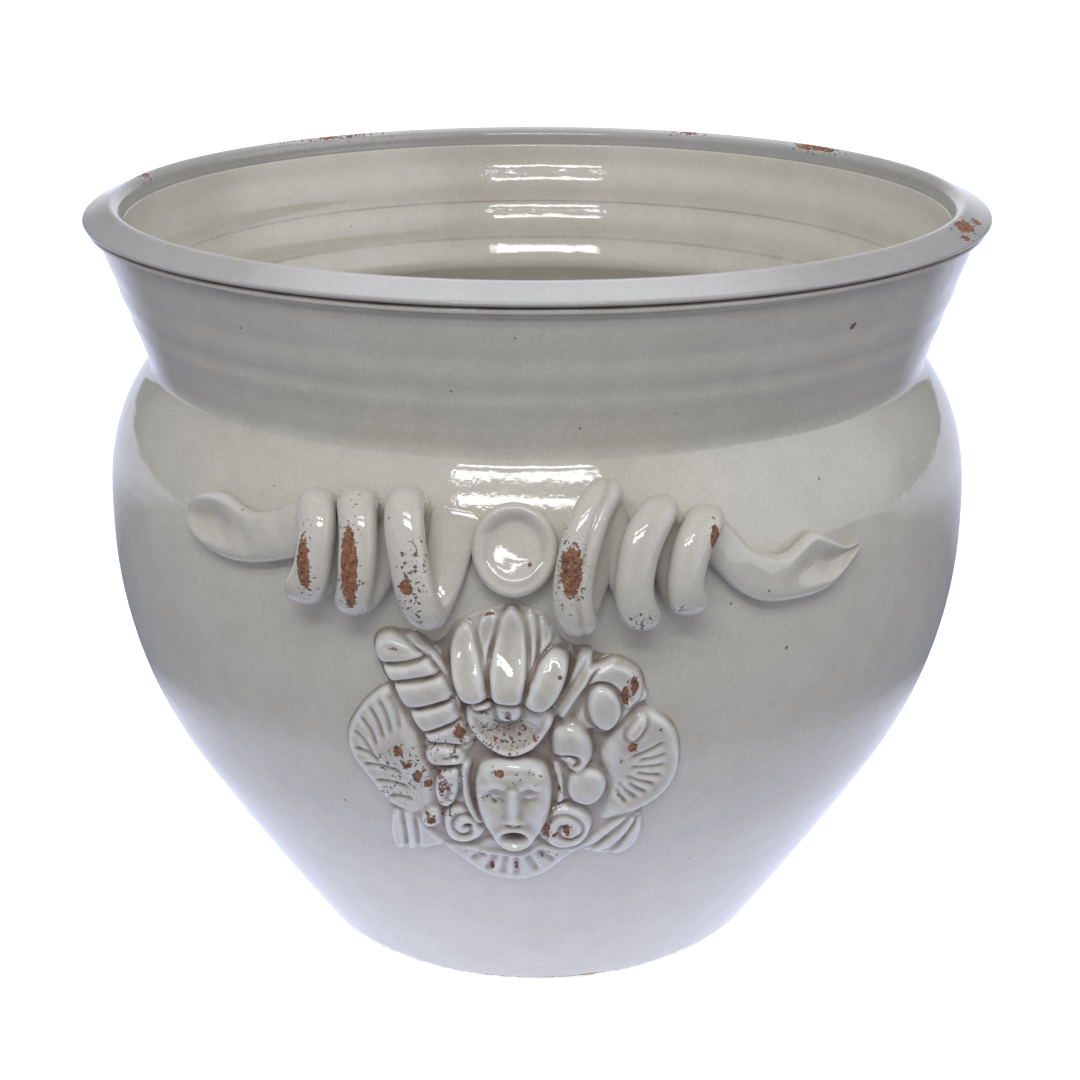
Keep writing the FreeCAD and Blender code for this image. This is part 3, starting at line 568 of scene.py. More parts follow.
    def bowl_profile(self) -> tuple[Array, tuple[int, int]]:
        """Outline of the bowl from the middle of its base, up the outside, over the neck and down to the floor.

        Returns:
            The outline, and the numbers of its two points at the neck.
        """
        foot, bend, floor_z = WALL.base_radius, self.foot_round, self.floor_thickness
        turn = np.linspace(-math.pi / 2, -0.35, 7)
        edge = np.stack([foot - bend + bend * np.cos(turn) * 1.02, bend + bend * np.sin(turn)], axis=1)
        z = np.linspace(3.2, WALL.neck_height, self.bowl_rows)
        outer = np.stack([self.outside(z) + self.throwing_lines(z, self.bowl_lines), z], axis=1)
        zi = np.linspace(WALL.neck_height, floor_z + 7.0, self.bowl_inner_rows)
        inner = np.stack([self.inside(zi), zi], axis=1)
        inner_foot = foot - self.floor_inset
        corner = smooth_line([inner[-1], (inner_foot - 3.5, floor_z + 1.2), (inner_foot - 11.0, floor_z)], 8)[1:]
        base = np.stack([np.linspace(2.0, foot - bend - 1.0, 8), np.zeros(8)], axis=1)
        floor = np.stack([np.linspace(inner_foot - 16.0, 2.0, 9), np.full(9, floor_z)], axis=1)
        neck = len(base) + len(edge) + len(outer) - 1
        return np.vstack([base, edge, outer, inner, corner, floor]), (neck, neck + 1)

    def build_bowl(self, glaze: bpy.types.Material) -> None:
        """Makes the belly bowl, with a dark, partly bare line and a chip at its foot."""
        profile, neck = self.bowl_profile()
        r, z = self.spread(profile)
        outer = r > WALL.base_radius - 3.5
        foot = np.where(outer, bell(z, 0.0, 1.6), 0.0)
        chip = bell(self.angles(), 0.27, 0.05) * bell(z, 1.0, 2.0) * outer
        paint = {"cavity": 0.8 * foot, "chip": np.maximum(0.45 * foot, 0.9 * chip), "speck": 0.5 * foot}
        self.ring(profile, False, self.sway, paint, neck).piece("belly_bowl", glaze, Slot.BODY)

    def collar_profile(self) -> Array:
        """Closed outline of the collar: ridged outside, bead under the rim, seat, and the lined inside."""
        z = np.linspace(WALL.neck_height, self.bead_low - 0.6, self.collar_rows)
        outer = self.outside(z)
        for height, relief in zip(self.ridge_heights, self.ridge_reliefs):
            step = (z - height) / self.ridge_width
            outer = outer + relief * (bell(step, 0.0, 1.0) - 0.8 * bell(step, -1.7, 1.0))
        low, top, out = self.bead_low, self.seat_height, self.bead_radius
        bead = smooth_line([(outer[-1], z[-1]), (out - 2.3, low + 0.1), (out - 0.4, low + 0.8), (out, low + 1.7),
                            (out - 0.4, top - 0.6), (out - 2.1, top - 0.1), (out - 7.9, top),
                            (self.mouth_radius + 1.2, top - 0.2)], 34)[1:]
        zi = np.linspace(top - 0.9, WALL.neck_height, self.collar_inner_rows)
        lined = np.stack([outer + self.throwing_lines(z, self.collar_lines), z], axis=1)
        return np.vstack([lined, bead, np.stack([self.inside(zi), zi], axis=1)])

    def build_collar(self, glaze: bpy.types.Material) -> None:
        """Makes the collar: brown glaze in the seam under the rim, a painted shadow under the bead, dark lines
        inside and a chip on each side.
        """
        profile = self.collar_profile()
        r, z = self.spread(profile)
        angle, girth = self.angles(), 190.0
        seam = 0.9 * bell(z, self.seat_height - 0.2, 0.55) * (r > girth)
        # Painted shadow along the underside of the bead.
        under = 0.55 * bell(z, self.bead_low + 0.1, 0.6) * (r > girth)
        inner = (np.arange(len(profile)) > len(profile) - self.collar_inner_rows)[:, None]
        rear = ramp(np.cos(angle), 0.3, -0.9)
        lines = sum(0.55 * bell(z, at, 0.45) for at in self.inner_lines) * inner * rear
        slant = (angle - 0.745) * girth + 0.5 * (z - 313.0)
        right = np.exp(-((slant / 0.9) ** 4) - ((z - 313.0) / 2.6) ** 4) * (r > 187.0)
        left = bell((angle + 1.42) * girth, 0.0, 1.6) * bell(z, 318.0, 2.4) * (r > 185.0)
        paint = {"cavity": np.maximum.reduce([seam, under, lines]), "chip": np.maximum(0.95 * right, 0.8 * left),
                 "speck": 0.3 * left}
        self.ring(profile, True, self.sway, paint, (0, len(profile) - 1)).piece("collar", glaze, Slot.BODY)

    def build_rim(self, glaze: bpy.types.Material) -> None:
        """Makes the rim: a bevel falls outwards from its crest and a narrow one inwards, with flakes."""
        profile = smooth_line(list(self.rim_knots), self.rim_rows, closed=True)
        r, z = self.spread(profile)
        near = [(flake.depth, flake.distance(self.angles(), r, z)) for flake in self.rim_flakes]
        chip = np.max([depth * np.exp(-(q**3)) for depth, q in near], axis=0)
        speck = np.max([self.rim_speck_share * depth * np.exp(-0.25 * q**2) for depth, q in near], axis=0)
        seam = 0.8 * bell(z, 333.1, 0.5) * (r > 194.0)
        # Paler along the crest: a painted highlight.
        edge = 0.5 * bell(z, 340.1, 0.5) * bell(r, 187.4, 1.2)
        paint = {"chip": chip, "speck": speck, "cavity": seam, "edge": edge}
        self.ring(profile, True, self.rim_sway, paint).piece("rim_coil", glaze, Slot.RIM)


# Ribbon on the shoulder


@dataclass
class Rope:
    """Rolled rope wound in turns: each half turn runs straight between two turning places, up in front, down behind.

    Along a half turn the place is a + (b - a)(1 - c) / 2 with c = sign(cos t)|cos t|^q, and the lift swings by
    |sin t|^q about its middle, so that a turn is a stadium seen from the side.
    """

    name: str
    turns: list[Place]
    bows: list[float]
    start: float
    stop: float
    chips: list[Chip]
    tongue: bool
    half_width: float = 7.3
    half_depth: float = 5.6
    front_lift: float = 18.8
    back_sink: float = 1.2
    squareness: float = 0.76
    flatness: float = 0.9
    groove: float = 0.0
    groove_side: float = 1.6
    cap_length: float = 5.0
    tongue_sink: float = 2.2
    tongue_widening: float = 0.34
    tongue_thinning: float = 0.42
    tongue_dish: float = 2.0
    rings: int = 720
    corners: int = 48

    def path(self) -> tuple[Array, Array]:
        """Middle line as (side, z, lift) at even steps, and the angle of winding at each point."""
        angle = np.linspace(self.start, self.stop, 4000)
        half = np.clip(np.floor(angle / math.pi).astype(int), 0, len(self.turns) - 2)
        local = angle - half * math.pi
        swing = np.abs(np.sin(local))
        blend = 0.5 * (1.0 - squared_off(np.cos(local), self.squareness))
        knots = np.asarray(self.turns)
        place = knots[half] + (knots[half + 1] - knots[half]) * blend[:, None]
        front = half % 2 == 1
        place[:, 0] += np.where(front, np.asarray(self.bows)[half // 2 % len(self.bows)] * swing**2, 0.0)
        back_lift = self.half_depth - self.back_sink
        if self.tongue:
            back_lift = back_lift - self.tongue_sink * (1.0 - ramp(angle, 0.2 * math.pi, 0.95 * math.pi))
        middle, throw = 0.5 * (self.front_lift + back_lift), 0.5 * (self.front_lift - back_lift)
        lift = middle + np.where(front, throw, -throw) * swing**self.squareness
        whole = even_line(np.column_stack([place, lift, angle]), self.rings)
        return whole[:, :3], whole[:, 3]

    def section(self, run: Array, angle: Array) -> tuple[Array, Array, Array]:
        """Section (w cos p, d sin p) at each point of the rope, with |.|^0.9 to flatten its faces.

        Both ends are rounded by sqrt(1 - (1 - run / cap)^2). A tongue starts wide, thin and dished; a groove is
        pressed along the front of the first strand.

        Args:
            run: Length of rope up to each point.
            angle: Angle of winding at each point.

        Returns:
            Places across the strand, heights over its middle, and where the groove lies, from 0 to 1.
        """
        near_end = np.minimum(run, run[-1] - run)
        cap = np.sqrt(np.clip(1.0 - np.clip(1.0 - near_end / self.cap_length, 0.0, 1.0) ** 2, 0.003, 1.0))
        sway = 1.0 + 0.035 * np.sin(run / 9.0) + 0.025 * np.sin(run / 4.3 + 1.0)
        width, depth = self.half_width * sway * cap, self.half_depth * (2.0 - sway) * cap
        p = np.linspace(0.0, TURN, self.corners, endpoint=False)[None, :]
        u, v = squared_off(np.cos(p), self.flatness), squared_off(np.sin(p), self.flatness)
        dish = 0.0
        if self.tongue:
            early = 1.0 - ramp(angle, 0.15 * math.pi, 0.95 * math.pi)
            width = width * (1.0 + self.tongue_widening * early)
            depth = depth * (1.0 - self.tongue_thinning * early)
            dish = self.tongue_dish * (early * cap)[:, None] * (1.0 - u**4) * (v < 0)
        x, y = width[:, None] * u, depth[:, None] * v + dish
        first = np.exp(-(((angle - 1.5 * math.pi) / (0.52 * math.pi)) ** 4))[:, None] * bool(self.groove)
        y = y - self.groove * first * bell(x, self.groove_side, 1.0) * np.clip(v, 0.0, 1.0)
        return x, y, first * bell(x, self.groove_side, 0.8) * (v > 0)

    def build(self, glaze: bpy.types.Material) -> None:
        """Carries the section along the winding: its width lies along the belly, its depth across the strand."""
        place, angle = self.path()
        middle = WALL.point(*place.T)
        tangent = np.gradient(middle, axis=0)
        tangent /= np.linalg.norm(tangent, axis=1, keepdims=True)
        turn = place[:, 0] / WALL.radius(place[:, 1])
        sideways = np.stack([np.cos(turn), np.sin(turn), np.zeros_like(turn)], axis=1)
        across = sideways - (sideways * tangent).sum(axis=1, keepdims=True) * tangent
        across /= np.linalg.norm(across, axis=1, keepdims=True)
        outward = np.cross(across, tangent)
        run = np.concatenate([[0.0], np.cumsum(np.linalg.norm(np.diff(middle, axis=0), axis=1))])
        x, y, grooved = self.section(run, angle)
        rings = middle[:, None] + across[:, None] * x[..., None] + outward[:, None] * y[..., None]
        side = np.arctan2(rings[..., 0], -rings[..., 1]) * WALL.radius(place[:, 1])[:, None]
        height = rings[..., 2] + WALL.drop(place[:, 1])[:, None]
        lift = np.hypot(rings[..., 0], rings[..., 1]) - WALL.radius(rings[..., 2])
        facing = ramp(lift, 13.0, 18.0)
        # Darker near the wall and in the groove: pooled glaze with painted shade.
        stain_and_shade = 0.8 * (1.0 - ramp(lift, 0.0, 7.0)) + 0.5 * grooved
        paint = {"cavity": stain_and_shade, **worn(self.chips, side, height, facing)}
        tube_skin(rings, paint).piece(self.name, glaze, Slot.RELIEF)


@dataclass
class Leaf:
    """Flattened, cupped end of a rope: a closed section between a lower and an upper edge line on the belly."""

    name: str
    lower: list[Place]
    upper: list[Place]
    thickness: tuple[float, float, float]
    hollow: float
    hollow_at: float
    lip: float
    chips: list[Chip] = field(default_factory=list)
    rim: float = 1.5
    flatness: float = 0.8
    tip_share: float = 0.07
    seat: float = 1.1
    sections: int = 150
    corners: int = 72

    def build(self, glaze: bpy.types.Material) -> None:
        """Carries the section from root to tip.

        Across the leaf, x runs from -1 at the lower edge to 1 at the upper one and the lift is b(1 + sin p) less a
        hollow h exp(-((x - 0.12) / 0.48)^2), plus a round lower rim and a thin upper lip.
        """
        low, high = smooth_line(self.lower, self.sections), smooth_line(self.upper, self.sections)
        t = np.linspace(0.0, 1.0, self.sections)[:, None]
        p = np.linspace(0.0, TURN, self.corners, endpoint=False)[None, :]
        x, y = squared_off(np.cos(p), self.flatness), squared_off(np.sin(p), self.flatness)
        close = np.clip((t - (1.0 - self.tip_share)) / self.tip_share, 0.0, 1.0)
        tip = np.sqrt(np.clip(1.0 - close**2, 0.03, 1.0))
        body = np.interp(t.ravel(), [0.0, 0.5, 1.0], self.thickness)[:, None] * tip
        side, z = (0.5 * (low[:, n:n + 1] + high[:, n:n + 1]) + 0.5 * (high[:, n:n + 1] - low[:, n:n + 1]) * x * tip
                   for n in (0, 1))
        front = np.clip(y, 0.0, 1.0)
        cup = bell(t, self.hollow_at, 0.22) * front
        lift = body - self.seat + body * y - self.hollow * cup * bell(x, 0.12, 0.48)
        lift = lift + self.rim * cup * bell(x, -0.7, 0.24) + self.lip * cup * bell(x, 0.82, 0.16)
        lift = lift + 0.25 * unevenness(side, z, 16.0) * front
        # Darker near the wall and in the hollow: pooled glaze with painted shade; the upper lip is paled as a
        # painted highlight.
        cavity = np.maximum(0.8 * (1.0 - ramp(lift, 0.0, 2.2)), 0.25 * cup * bell(x, 0.12, 0.4))
        paint = {"cavity": cavity, "edge": 0.8 * cup * bell(x, 0.85, 0.16), **worn(self.chips, side, z, front)}
        tube_skin(WALL.point(side, z, lift), paint).piece(self.name, glaze, Slot.RELIEF)


@dataclass
class Boss:
    """Round button between the ropes: a rolled lip round a dished face, turned about the wall's normal."""

    side: float = 1.6
    z: float = 242.0
    knots: tuple[Place, ...] = ((0.3, 5.9), (4.0, 6.15), (8.0, 6.9), (11.0, 8.1), (12.6, 8.8), (13.8, 8.9),
                                (15.0, 7.9), (15.7, 5.8), (15.8, 3.2), (15.4, 0.8), (15.0, -1.4))
    flat_radius: float = 100.0
    lean: float = 0.08
    dish_lean: float = 0.16
    dent_depth: float = 0.5
    dent_at: Place = (5.0, -3.0)
    pit_at: Place = (5.6, -4.6)
    rings: int = 70
    corners: int = 132

    def build(self, glaze: bpy.types.Material) -> None:
        """Turns the profile; the radius drifts by 2 % and the dish has a poked dent off its middle.

        At a place d below the middle it stands d^2 / 2R + lean * d prouder, which levels it on the round wall.
        """
        profile = smooth_line(list(self.knots), self.rings)
        angle = np.linspace(0.0, TURN, self.corners, endpoint=False)[None, :]
        r, lift = profile[:, :1], profile[:, 1:]
        facing = 1.0 - ramp(r, 9.0, 13.0)
        r = r * (1.0 + 0.015 * np.sin(3 * angle + 0.5) + 0.012 * np.sin(2 * angle + 2.0))
        right, up = r * np.cos(angle), r * np.sin(angle)
        side, z = self.side + right, self.z + up
        dent = bell(right, self.dent_at[0], 2.2) * bell(up, self.dent_at[1], 2.6)
        levelled = (up * up / (2.0 * self.flat_radius) - self.lean * up) * ramp(lift, 0.0, 5.0)
        dish = -self.dish_lean * up - self.dent_depth * dent + 0.16 * unevenness(side, z, 13.0)
        lift = lift + levelled + dish * facing
        # Darker near the wall and in a ring inside the lip: pooled glaze with painted shade.
        cavity = np.maximum(0.85 * (1.0 - ramp(lift, 0.0, 2.4)), 0.2 * bell(r, 10.3, 1.2))
        pit = Chip(self.side + self.pit_at[0], self.z + self.pit_at[1], 0.9, 0.9, 0.95, 0.2)
        paint = {"cavity": cavity, **worn([pit], side, z, 1.0)}
        tube_skin(WALL.point(side, z, lift), paint).piece("boss", glaze, Slot.RELIEF)


# Mask medallion


@dataclass(frozen=True)
class Stroke:
    """Rib (positive height) or groove (negative) pressed along a line; it dies out at its ends."""

    line: tuple[Place, ...]
    width: float
    height: float
    fade: float = 0.15

    def shape(self, x: Array, y: Array) -> Array:
        """Bell across the line, height * exp(-(d / width)^2), ramped down over the fade at both ends."""
        distance, share = line_distance(x, y, smooth_line(list(self.line), 40))
        ends = ramp(share, -0.001, self.fade) * (1.0 - ramp(share, 1.0 - self.fade, 1.001))
        return self.height * bell(distance, 0.0, self.width) * (0.15 + 0.85 * ends)


@dataclass(frozen=True)
class Dab:
    """Round swelling (positive) or dent (negative), an ellipse turned by an angle in degrees."""

    side: float
    z: float
    half_side: float
    half_z: float
    height: float
    turn: float = 0.0

    def shape(self, x: Array, y: Array) -> Array:
        """Bell over the ellipse, height * exp(-u^2 - v^2)."""
        c, s = math.cos(math.radians(self.turn)), math.sin(math.radians(self.turn))
        dx, dy = x - self.side, y - self.z
        u, v = (c * dx + s * dy) / self.half_side, (c * dy - s * dx) / self.half_z
        return self.height * np.exp(-u * u - v * v)


@dataclass(frozen=True)
class Lobe:
    """Petal, ring or bead: a dome inside a closed line, a groove pressed round it and a thin raised edge.

    At depth d inside the line the dome is rise * sqrt(1 - (1 - d / edge)^2), the groove is a bell on the line and
    the raised edge is a bell at a depth of 1.1.
    """

    outline: tuple[Place, ...]
    rise: float
    edge: float
    groove: float = 1.2
    rim: float = 0.0

    def shape(self, x: Array, y: Array) -> Array:
        """Height that the lobe adds to the field under it."""
        depth = loop_depth(x, y, smooth_line(list(self.outline), 72, closed=True))
        share = np.clip(depth / self.edge, 0.0, 1.0)
        dome = self.rise * np.sqrt(1.0 - (1.0 - share) ** 2)
        return dome - self.groove * bell(depth, -0.3, 0.7) + self.rim * bell(depth, 1.1, 0.6)


Mark = Stroke | Dab | Lobe


def grooves(ends: list[tuple[Place, Place]], width: float, height: float, bend: float = 0.0) -> list[Stroke]:
    """Strokes between pairs of places, each bowed to its left by the given distance.

    Args:
        ends: First and last place of each stroke.
        width: Width of each.
        height: Height of each, negative for grooves.
        bend: How far its middle stands off the straight line.

    Returns:
        The strokes.
    """
    pairs = np.asarray(ends, float)
    step = pairs[:, 1] - pairs[:, 0]
    left = np.stack([-step[:, 1], step[:, 0]], axis=1) / np.linalg.norm(step, axis=1, keepdims=True)
    middle = pairs.mean(axis=1) + bend * left
    return [
        Stroke(tuple(map(tuple, line)), width, height)
        for line in np.stack([pairs[:, 0], middle, pairs[:, 1]], axis=1)]


def fan(root: Place, turns: Place, reach: Place, count: int, start: float) -> list[tuple[Place, Place]]:
    """Ends of lines that spread from a root like the flutes of a shell.

    Args:
        root: Place that the lines point away from.
        turns: First and last direction in degrees, counterclockwise from the right.
        reach: Length at the first and the last direction.
        count: Number of lines.
        start: Share of the length that is left plain at the root; every second line starts a little later.

    Returns:
        First and last place of each line.
    """
    turn, length = np.radians(np.linspace(*turns, count)), np.linspace(*reach, count)
    way = np.stack([np.cos(turn), np.sin(turn)], axis=1) * length[:, None]
    begin = (start + 0.14 * (np.arange(count) % 2))[:, None]
    return [(tuple(a), tuple(b)) for a, b in zip(np.asarray(root) + begin * way, np.asarray(root) + way)]


@dataclass
class Sprig:
    """Press-moulded ornament: a raised field inside an outline with petals, ribs and dents on it.

    Inside the outline the height is h sqrt(1 - (1 - d / e)^2) at depth d, flat beyond the edge width e. A leaning
    field is thicker at its foot and sinks by the lean over a span of heights; outside, it falls by 1.3 d.
    """

    name: str
    outline: list[Place]
    height: float
    edge: float
    marks: list[Mark] = field(default_factory=list)
    chips: list[Chip] = field(default_factory=list)
    lean: float = 0.0
    lean_span: Place = (0.0, 1.0)

    def heights(self, x: Array, y: Array) -> tuple[Array, Array]:
        """Clay heights over the grid.

        Args:
            x: Grid of side coordinates.
            y: Grid of heights on the wall.

        Returns:
            The plain field and the field with its marks.
        """
        depth = loop_depth(x, y, smooth_line(self.outline, 120, closed=True))
        rise = np.clip(depth / self.edge, 0.0, 1.0)
        plain = np.where(depth > 0.0, self.height * np.sqrt(1.0 - (1.0 - rise) ** 2), 1.3 * depth)
        within = ramp(depth, -0.3, 0.4 * self.edge)
        plain = plain + within * self.lean * (0.5 - ramp(y, *self.lean_span))
        detail = sum((mark.shape(x, y) for mark in self.marks), np.zeros_like(x))
        return plain, plain + within * (detail + 0.2 * unevenness(x, y, 9.0))


@dataclass
class Medallion:
    """Shells, curls, crest and face that are pressed close together on the belly.

    All sprigs share one field of heights, the soft maximum log(sum exp(k h)) / k of their fields and of a thin bed
    of clay under them. Each sprig's piece is the part of the field where it stands highest.
    """

    cell: float = 0.4
    softness: float = 0.6
    join: float = 1.2
    fillet: float = 2.0
    sink: float = 0.55
    bed_height: float = 2.0
    bed_edge: float = 5.0
    far_below: float = -12.0
    reach: float = 7.0
    owner_softness: float = 1.2
    settling: float = 0.25
    side_span: Place = (-74.0, 74.0)
    height_span: Place = (77.0, 231.0)
    # Widths and depths of the darkened crevices (pooled glaze with painted shade), then width and rise of the
    # painted highlight on edges.
    stain_and_shade_widths: Place = (1.1, 4.0)
    stain_and_shade_depths: Place = (0.55, 1.4)
    edge_width: float = 0.9
    edge_rise: float = 0.26
    skirt_depth: float = 1.5
    fan_depth: float = 4.0
    bed: tuple[Place, ...] = (
        (-47, 182), (-60, 170), (-65, 157), (-58, 140), (-50, 127), (-51, 112), (-48, 100), (-38, 101), (-28, 104),
        (-13, 89), (0, 85.5), (11, 89.5), (21, 100), (30, 103), (43, 101.5), (51, 112), (50, 122), (58, 133),
        (65, 150), (62, 166), (52, 176), (50, 190), (42, 198), (29, 203), (20, 207), (14, 216), (0, 222),
        (-16, 216), (-24, 208), (-30, 204), (-40, 208), (-52, 204), (-50, 190))

    def face(self) -> Sprig:
        """Calm spout mask on plain proportions: eyes halfway down the head, nose and mouth at even thirds below."""
        outline = [
            (-14.5, 147), (-12, 153.5), (-6, 157), (0.5, 158), (7, 157), (13, 153.5), (15.5, 147), (16, 139),
            (15, 130), (12.5, 121), (7.5, 113.5), (0.5, 111), (-6.5, 113.5), (-11.5, 121), (-14, 130), (-15, 139)]
        middle = 0.5
        marks: list[Mark] = []
        for hand in (-1.0, 1.0):
            brow = tuple((middle + hand * s, z) for s, z in ((2.2, 145.5), (6.2, 147.8), (11.0, 145.0)))
            lid = tuple((middle + hand * s, z) for s, z in ((3.2, 141.0), (6.2, 140.2), (9.4, 141.2)))
            nostril = tuple((middle + hand * s, z) for s, z in ((1.0, 128.4), (2.8, 129.2)))
            marks += [
                Dab(middle + hand * 6.2, 142.0, 4.6, 3.2, -2.2), Dab(middle + hand * 6.2, 141.8, 3.2, 1.8, 1.8),
                Dab(middle + hand * 8.2, 133.0, 4.4, 4.4, 1.6), Stroke(brow, 1.6, 1.5), Stroke(lid, 0.6, -1.0),
                Stroke(nostril, 0.8, -1.1), Dab(middle + hand * 2.4, 130.2, 1.6, 1.5, 1.0)]
        lips = tuple((middle + 6.0 * math.cos(a), 121.0 + 5.0 * math.sin(a)) for a in np.linspace(0.0, TURN, 17))
        marks += [
            Stroke(((middle, 146.5), (middle, 139.0), (middle, 131.0)), 2.1, 2.8, 0.1),
            Dab(middle, 131.0, 2.7, 2.2, 1.8), Stroke(lips, 1.5, 2.8, 0.001), Dab(middle, 121.0, 4.2, 3.2, -9.0),
            Stroke(((-9.0, 151.5), (0.5, 153.0), (10.0, 151.5)), 1.0, -0.8)]
        chips = [
            Chip(-4.5, 152.5, 2.4, 1.6, 0.7), Chip(6.0, 150.5, 5.0, 3.0, 0.0, 0.2),
            Chip(-8.0, 141.0, 4.0, 2.0, 0.3, 0.35)]
        return Sprig("mask_face", outline, 11.5, 6.5, marks, chips)

    def crest(self) -> Sprig:
        """Fluted crest: three broad petals with narrow ones between, thick at the foot and thin at the top."""
        outline = [
            (-8, 184), (-13.5, 182.5), (-18.5, 184), (-21.5, 190.5), (-23.2, 198.5), (-23.5, 207), (-21, 213),
            (-16, 216.5), (-10, 219), (-5, 220.5), (0.5, 223.5), (5.5, 220.8), (10, 219.5), (15, 215.5), (18, 207),
            (22, 204.5), (22.5, 197.5), (20.3, 190), (17.5, 184), (13.5, 180.5), (9, 179.8), (4.5, 182),
            (-1, 182.5), (-5, 183.5)]
        middle = (
            (-0.8, 183.5), (-5.6, 184.8), (-7.2, 191), (-7.5, 198.5), (-6.3, 207), (-4.4, 215.5), (0.5, 222.3),
            (5, 215.5), (6.2, 207.3), (6.4, 198), (5.5, 189), (3.8, 184.5))
        left = (
            (-13.4, 183.5), (-17.7, 185), (-20.6, 191), (-22.3, 198.6), (-22.7, 206), (-20.9, 212), (-16.5, 214.8),
            (-12.6, 209), (-10, 199), (-8.3, 190.7), (-8.8, 185.5))
        right = (
            (9.1, 180.7), (5.4, 183.6), (5.9, 189.1), (8, 195.5), (11, 201), (14.5, 204.5), (18.5, 205),
            (21.2, 202), (21, 196), (18.8, 189), (13.8, 181.4))
        folds = [
            ((-8.6, 190), (-10.2, 200), (-12.6, 209), (-11, 217), (-6, 219), (-5, 213), (-7.4, 205), (-8.3, 197.5)),
            ((6.2, 189), (7.2, 198), (7.2, 208), (6, 216), (6, 219.5), (9.2, 218), (10, 208), (8.6, 198)),
            ((8.4, 194), (10.4, 202), (11, 210), (10.8, 217), (14.5, 214.5), (16, 209), (13.2, 204.6), (10, 199.5))]
        marks = [Lobe(middle, 2.8, 3.6, 1.6, 0.3), Lobe(left, 2.8, 4.2, 1.6, 0.3), Lobe(right, 2.8, 4.2, 1.6, 0.3)]
        marks += [Lobe(fold, 1.0, 1.6, 1.2, 0.9) for fold in folds]
        marks += [
            Dab(-1.0, 202.0, 3.0, 9.0, -0.7), Dab(-15.5, 196.0, 3.2, 7.0, -0.6, 8.0),
            Dab(14.0, 192.0, 3.0, 6.0, -0.5, -22.0), Dab(-1.0, 194.0, 2.4, 3.0, 0.5),
            Dab(1.6, 206.0, 2.0, 3.4, 0.4), Dab(-13.4, 189.0, 2.4, 2.6, 0.5)]
        chips = [Chip(-9.0, 218.2, 3.6, 0.9, 0.75), Chip(18.0, 196.0, 1.0, 1.0, 0.8)]
        return Sprig("crest", outline, 6.6, 3.6, marks, chips, 9.6, (189.0, 213.0))

    def diadem(self) -> Sprig:
        """Round bowl under the crest: a smooth lip, a tab with a slot, rays, and a bead at its left."""
        outline = [
            (-17.7, 177), (-14.8, 168), (-8.6, 161), (-0.2, 157.6), (8.4, 161), (14.2, 168.6), (17, 176.5),
            (12, 181.5), (5, 184), (-1, 185), (-6, 184.5), (-12, 184.5), (-15.5, 182)]
        lip = Stroke((
            (-16, 176.5), (-13, 168.6), (-7.6, 162.7), (-0.2, 159.8), (7.4, 162.7), (12.6, 169.2),
            (15.3, 176)), 1.5, 2.4, 0.05)
        tab = Lobe((
            (-5.2, 179), (-5, 183), (-0.7, 184.6), (3.8, 183), (4.2, 178.5), (2.8, 175), (-0.8, 174),
            (-4.3, 175)), 2.2, 2.6, 0.9, 0.4)
        bead = Lobe((
            (-15, 181.8), (-13.2, 184.2), (-9.8, 184.8), (-6.8, 183.7), (-7.2, 181), (-10.7, 179.8),
            (-13.7, 179.8)), 3.0, 2.4, 1.2)
        rays = grooves(fan((-0.6, 178.0), (208.0, 332.0), (11.0, 11.0), 8, 0.42), 0.6, -0.7)
        marks = [
            lip, tab, bead, *rays, Dab(-0.5, 171.0, 9.5, 6.5, -3.4),
            Stroke(((-0.8, 180.5), (-0.8, 175.8)), 0.8, -2.4), Dab(8.6, 175.5, 3.4, 3.0, 1.3, 20.0),
            Dab(-9.0, 174.5, 3.2, 3.0, 0.8, -20.0)]
        chips = [
            Chip(-3.0, 168.0, 10.0, 7.0, 0.0, 0.42), Chip(-5.5, 165.5, 1.4, 2.2, 0.6),
            Chip(9.0, 167.0, 0.9, 0.9, 0.9)]
        return Sprig("diadem", outline, 8.4, 4.0, marks, chips)

    def horn(self) -> Sprig:
        """Ringed horn with a cord edge, which ends in a curl at its foot."""
        outline = [
            (-53, 201), (-51.5, 206.5), (-46.5, 209), (-40.5, 208.5), (-35.5, 208), (-30, 203.5), (-25.5, 198.7),
            (-21.5, 191), (-18.8, 183), (-17.2, 176), (-14.2, 170), (-12.3, 164), (-15.5, 158), (-17, 152),
            (-24, 149.8), (-31, 150), (-34.5, 155), (-34.5, 162), (-37.5, 168.5), (-39.5, 174), (-42, 178),
            (-46, 186.5), (-50, 194)]
        rings = [
            (
                (-52.3, 201.2), (-50.9, 205.6), (-46.5, 208), (-41.5, 207.2), (-36.7, 204.2), (-32.5, 200),
                (-38.2, 197), (-45.1, 195.6), (-50, 196)),
            (
                (-49.2, 193.6), (-44.3, 195.6), (-37.9, 197), (-31.8, 199.4), (-28.8, 197), (-27, 193),
                (-33.6, 190.4), (-40.8, 188.6), (-46.4, 188)),
            (
                (-45, 186), (-40.5, 188.2), (-33.3, 190), (-26, 192.6), (-22.6, 188.8), (-21.4, 183.3),
                (-28.2, 179.7), (-34.5, 177.4), (-41, 177.6)),
            (
                (-38.6, 174.5), (-33.6, 177), (-28.2, 179), (-22, 181.8), (-20.2, 178.3), (-19.4, 173.7),
                (-25.8, 169.5), (-32.2, 166.5), (-36, 168.6)),
            (
                (-33.2, 164.8), (-29.5, 167), (-24, 169.6), (-19, 172.7), (-16.4, 168.1), (-15, 163.8),
                (-18.5, 161.8), (-25.2, 161.4), (-31, 161.6))]
        curl = Lobe((
            (-33.2, 157), (-29, 161), (-22.5, 161), (-18, 157.5), (-18, 153), (-24, 151), (-30.3, 151),
            (-33.2, 153.5)), 2.6, 3.6)
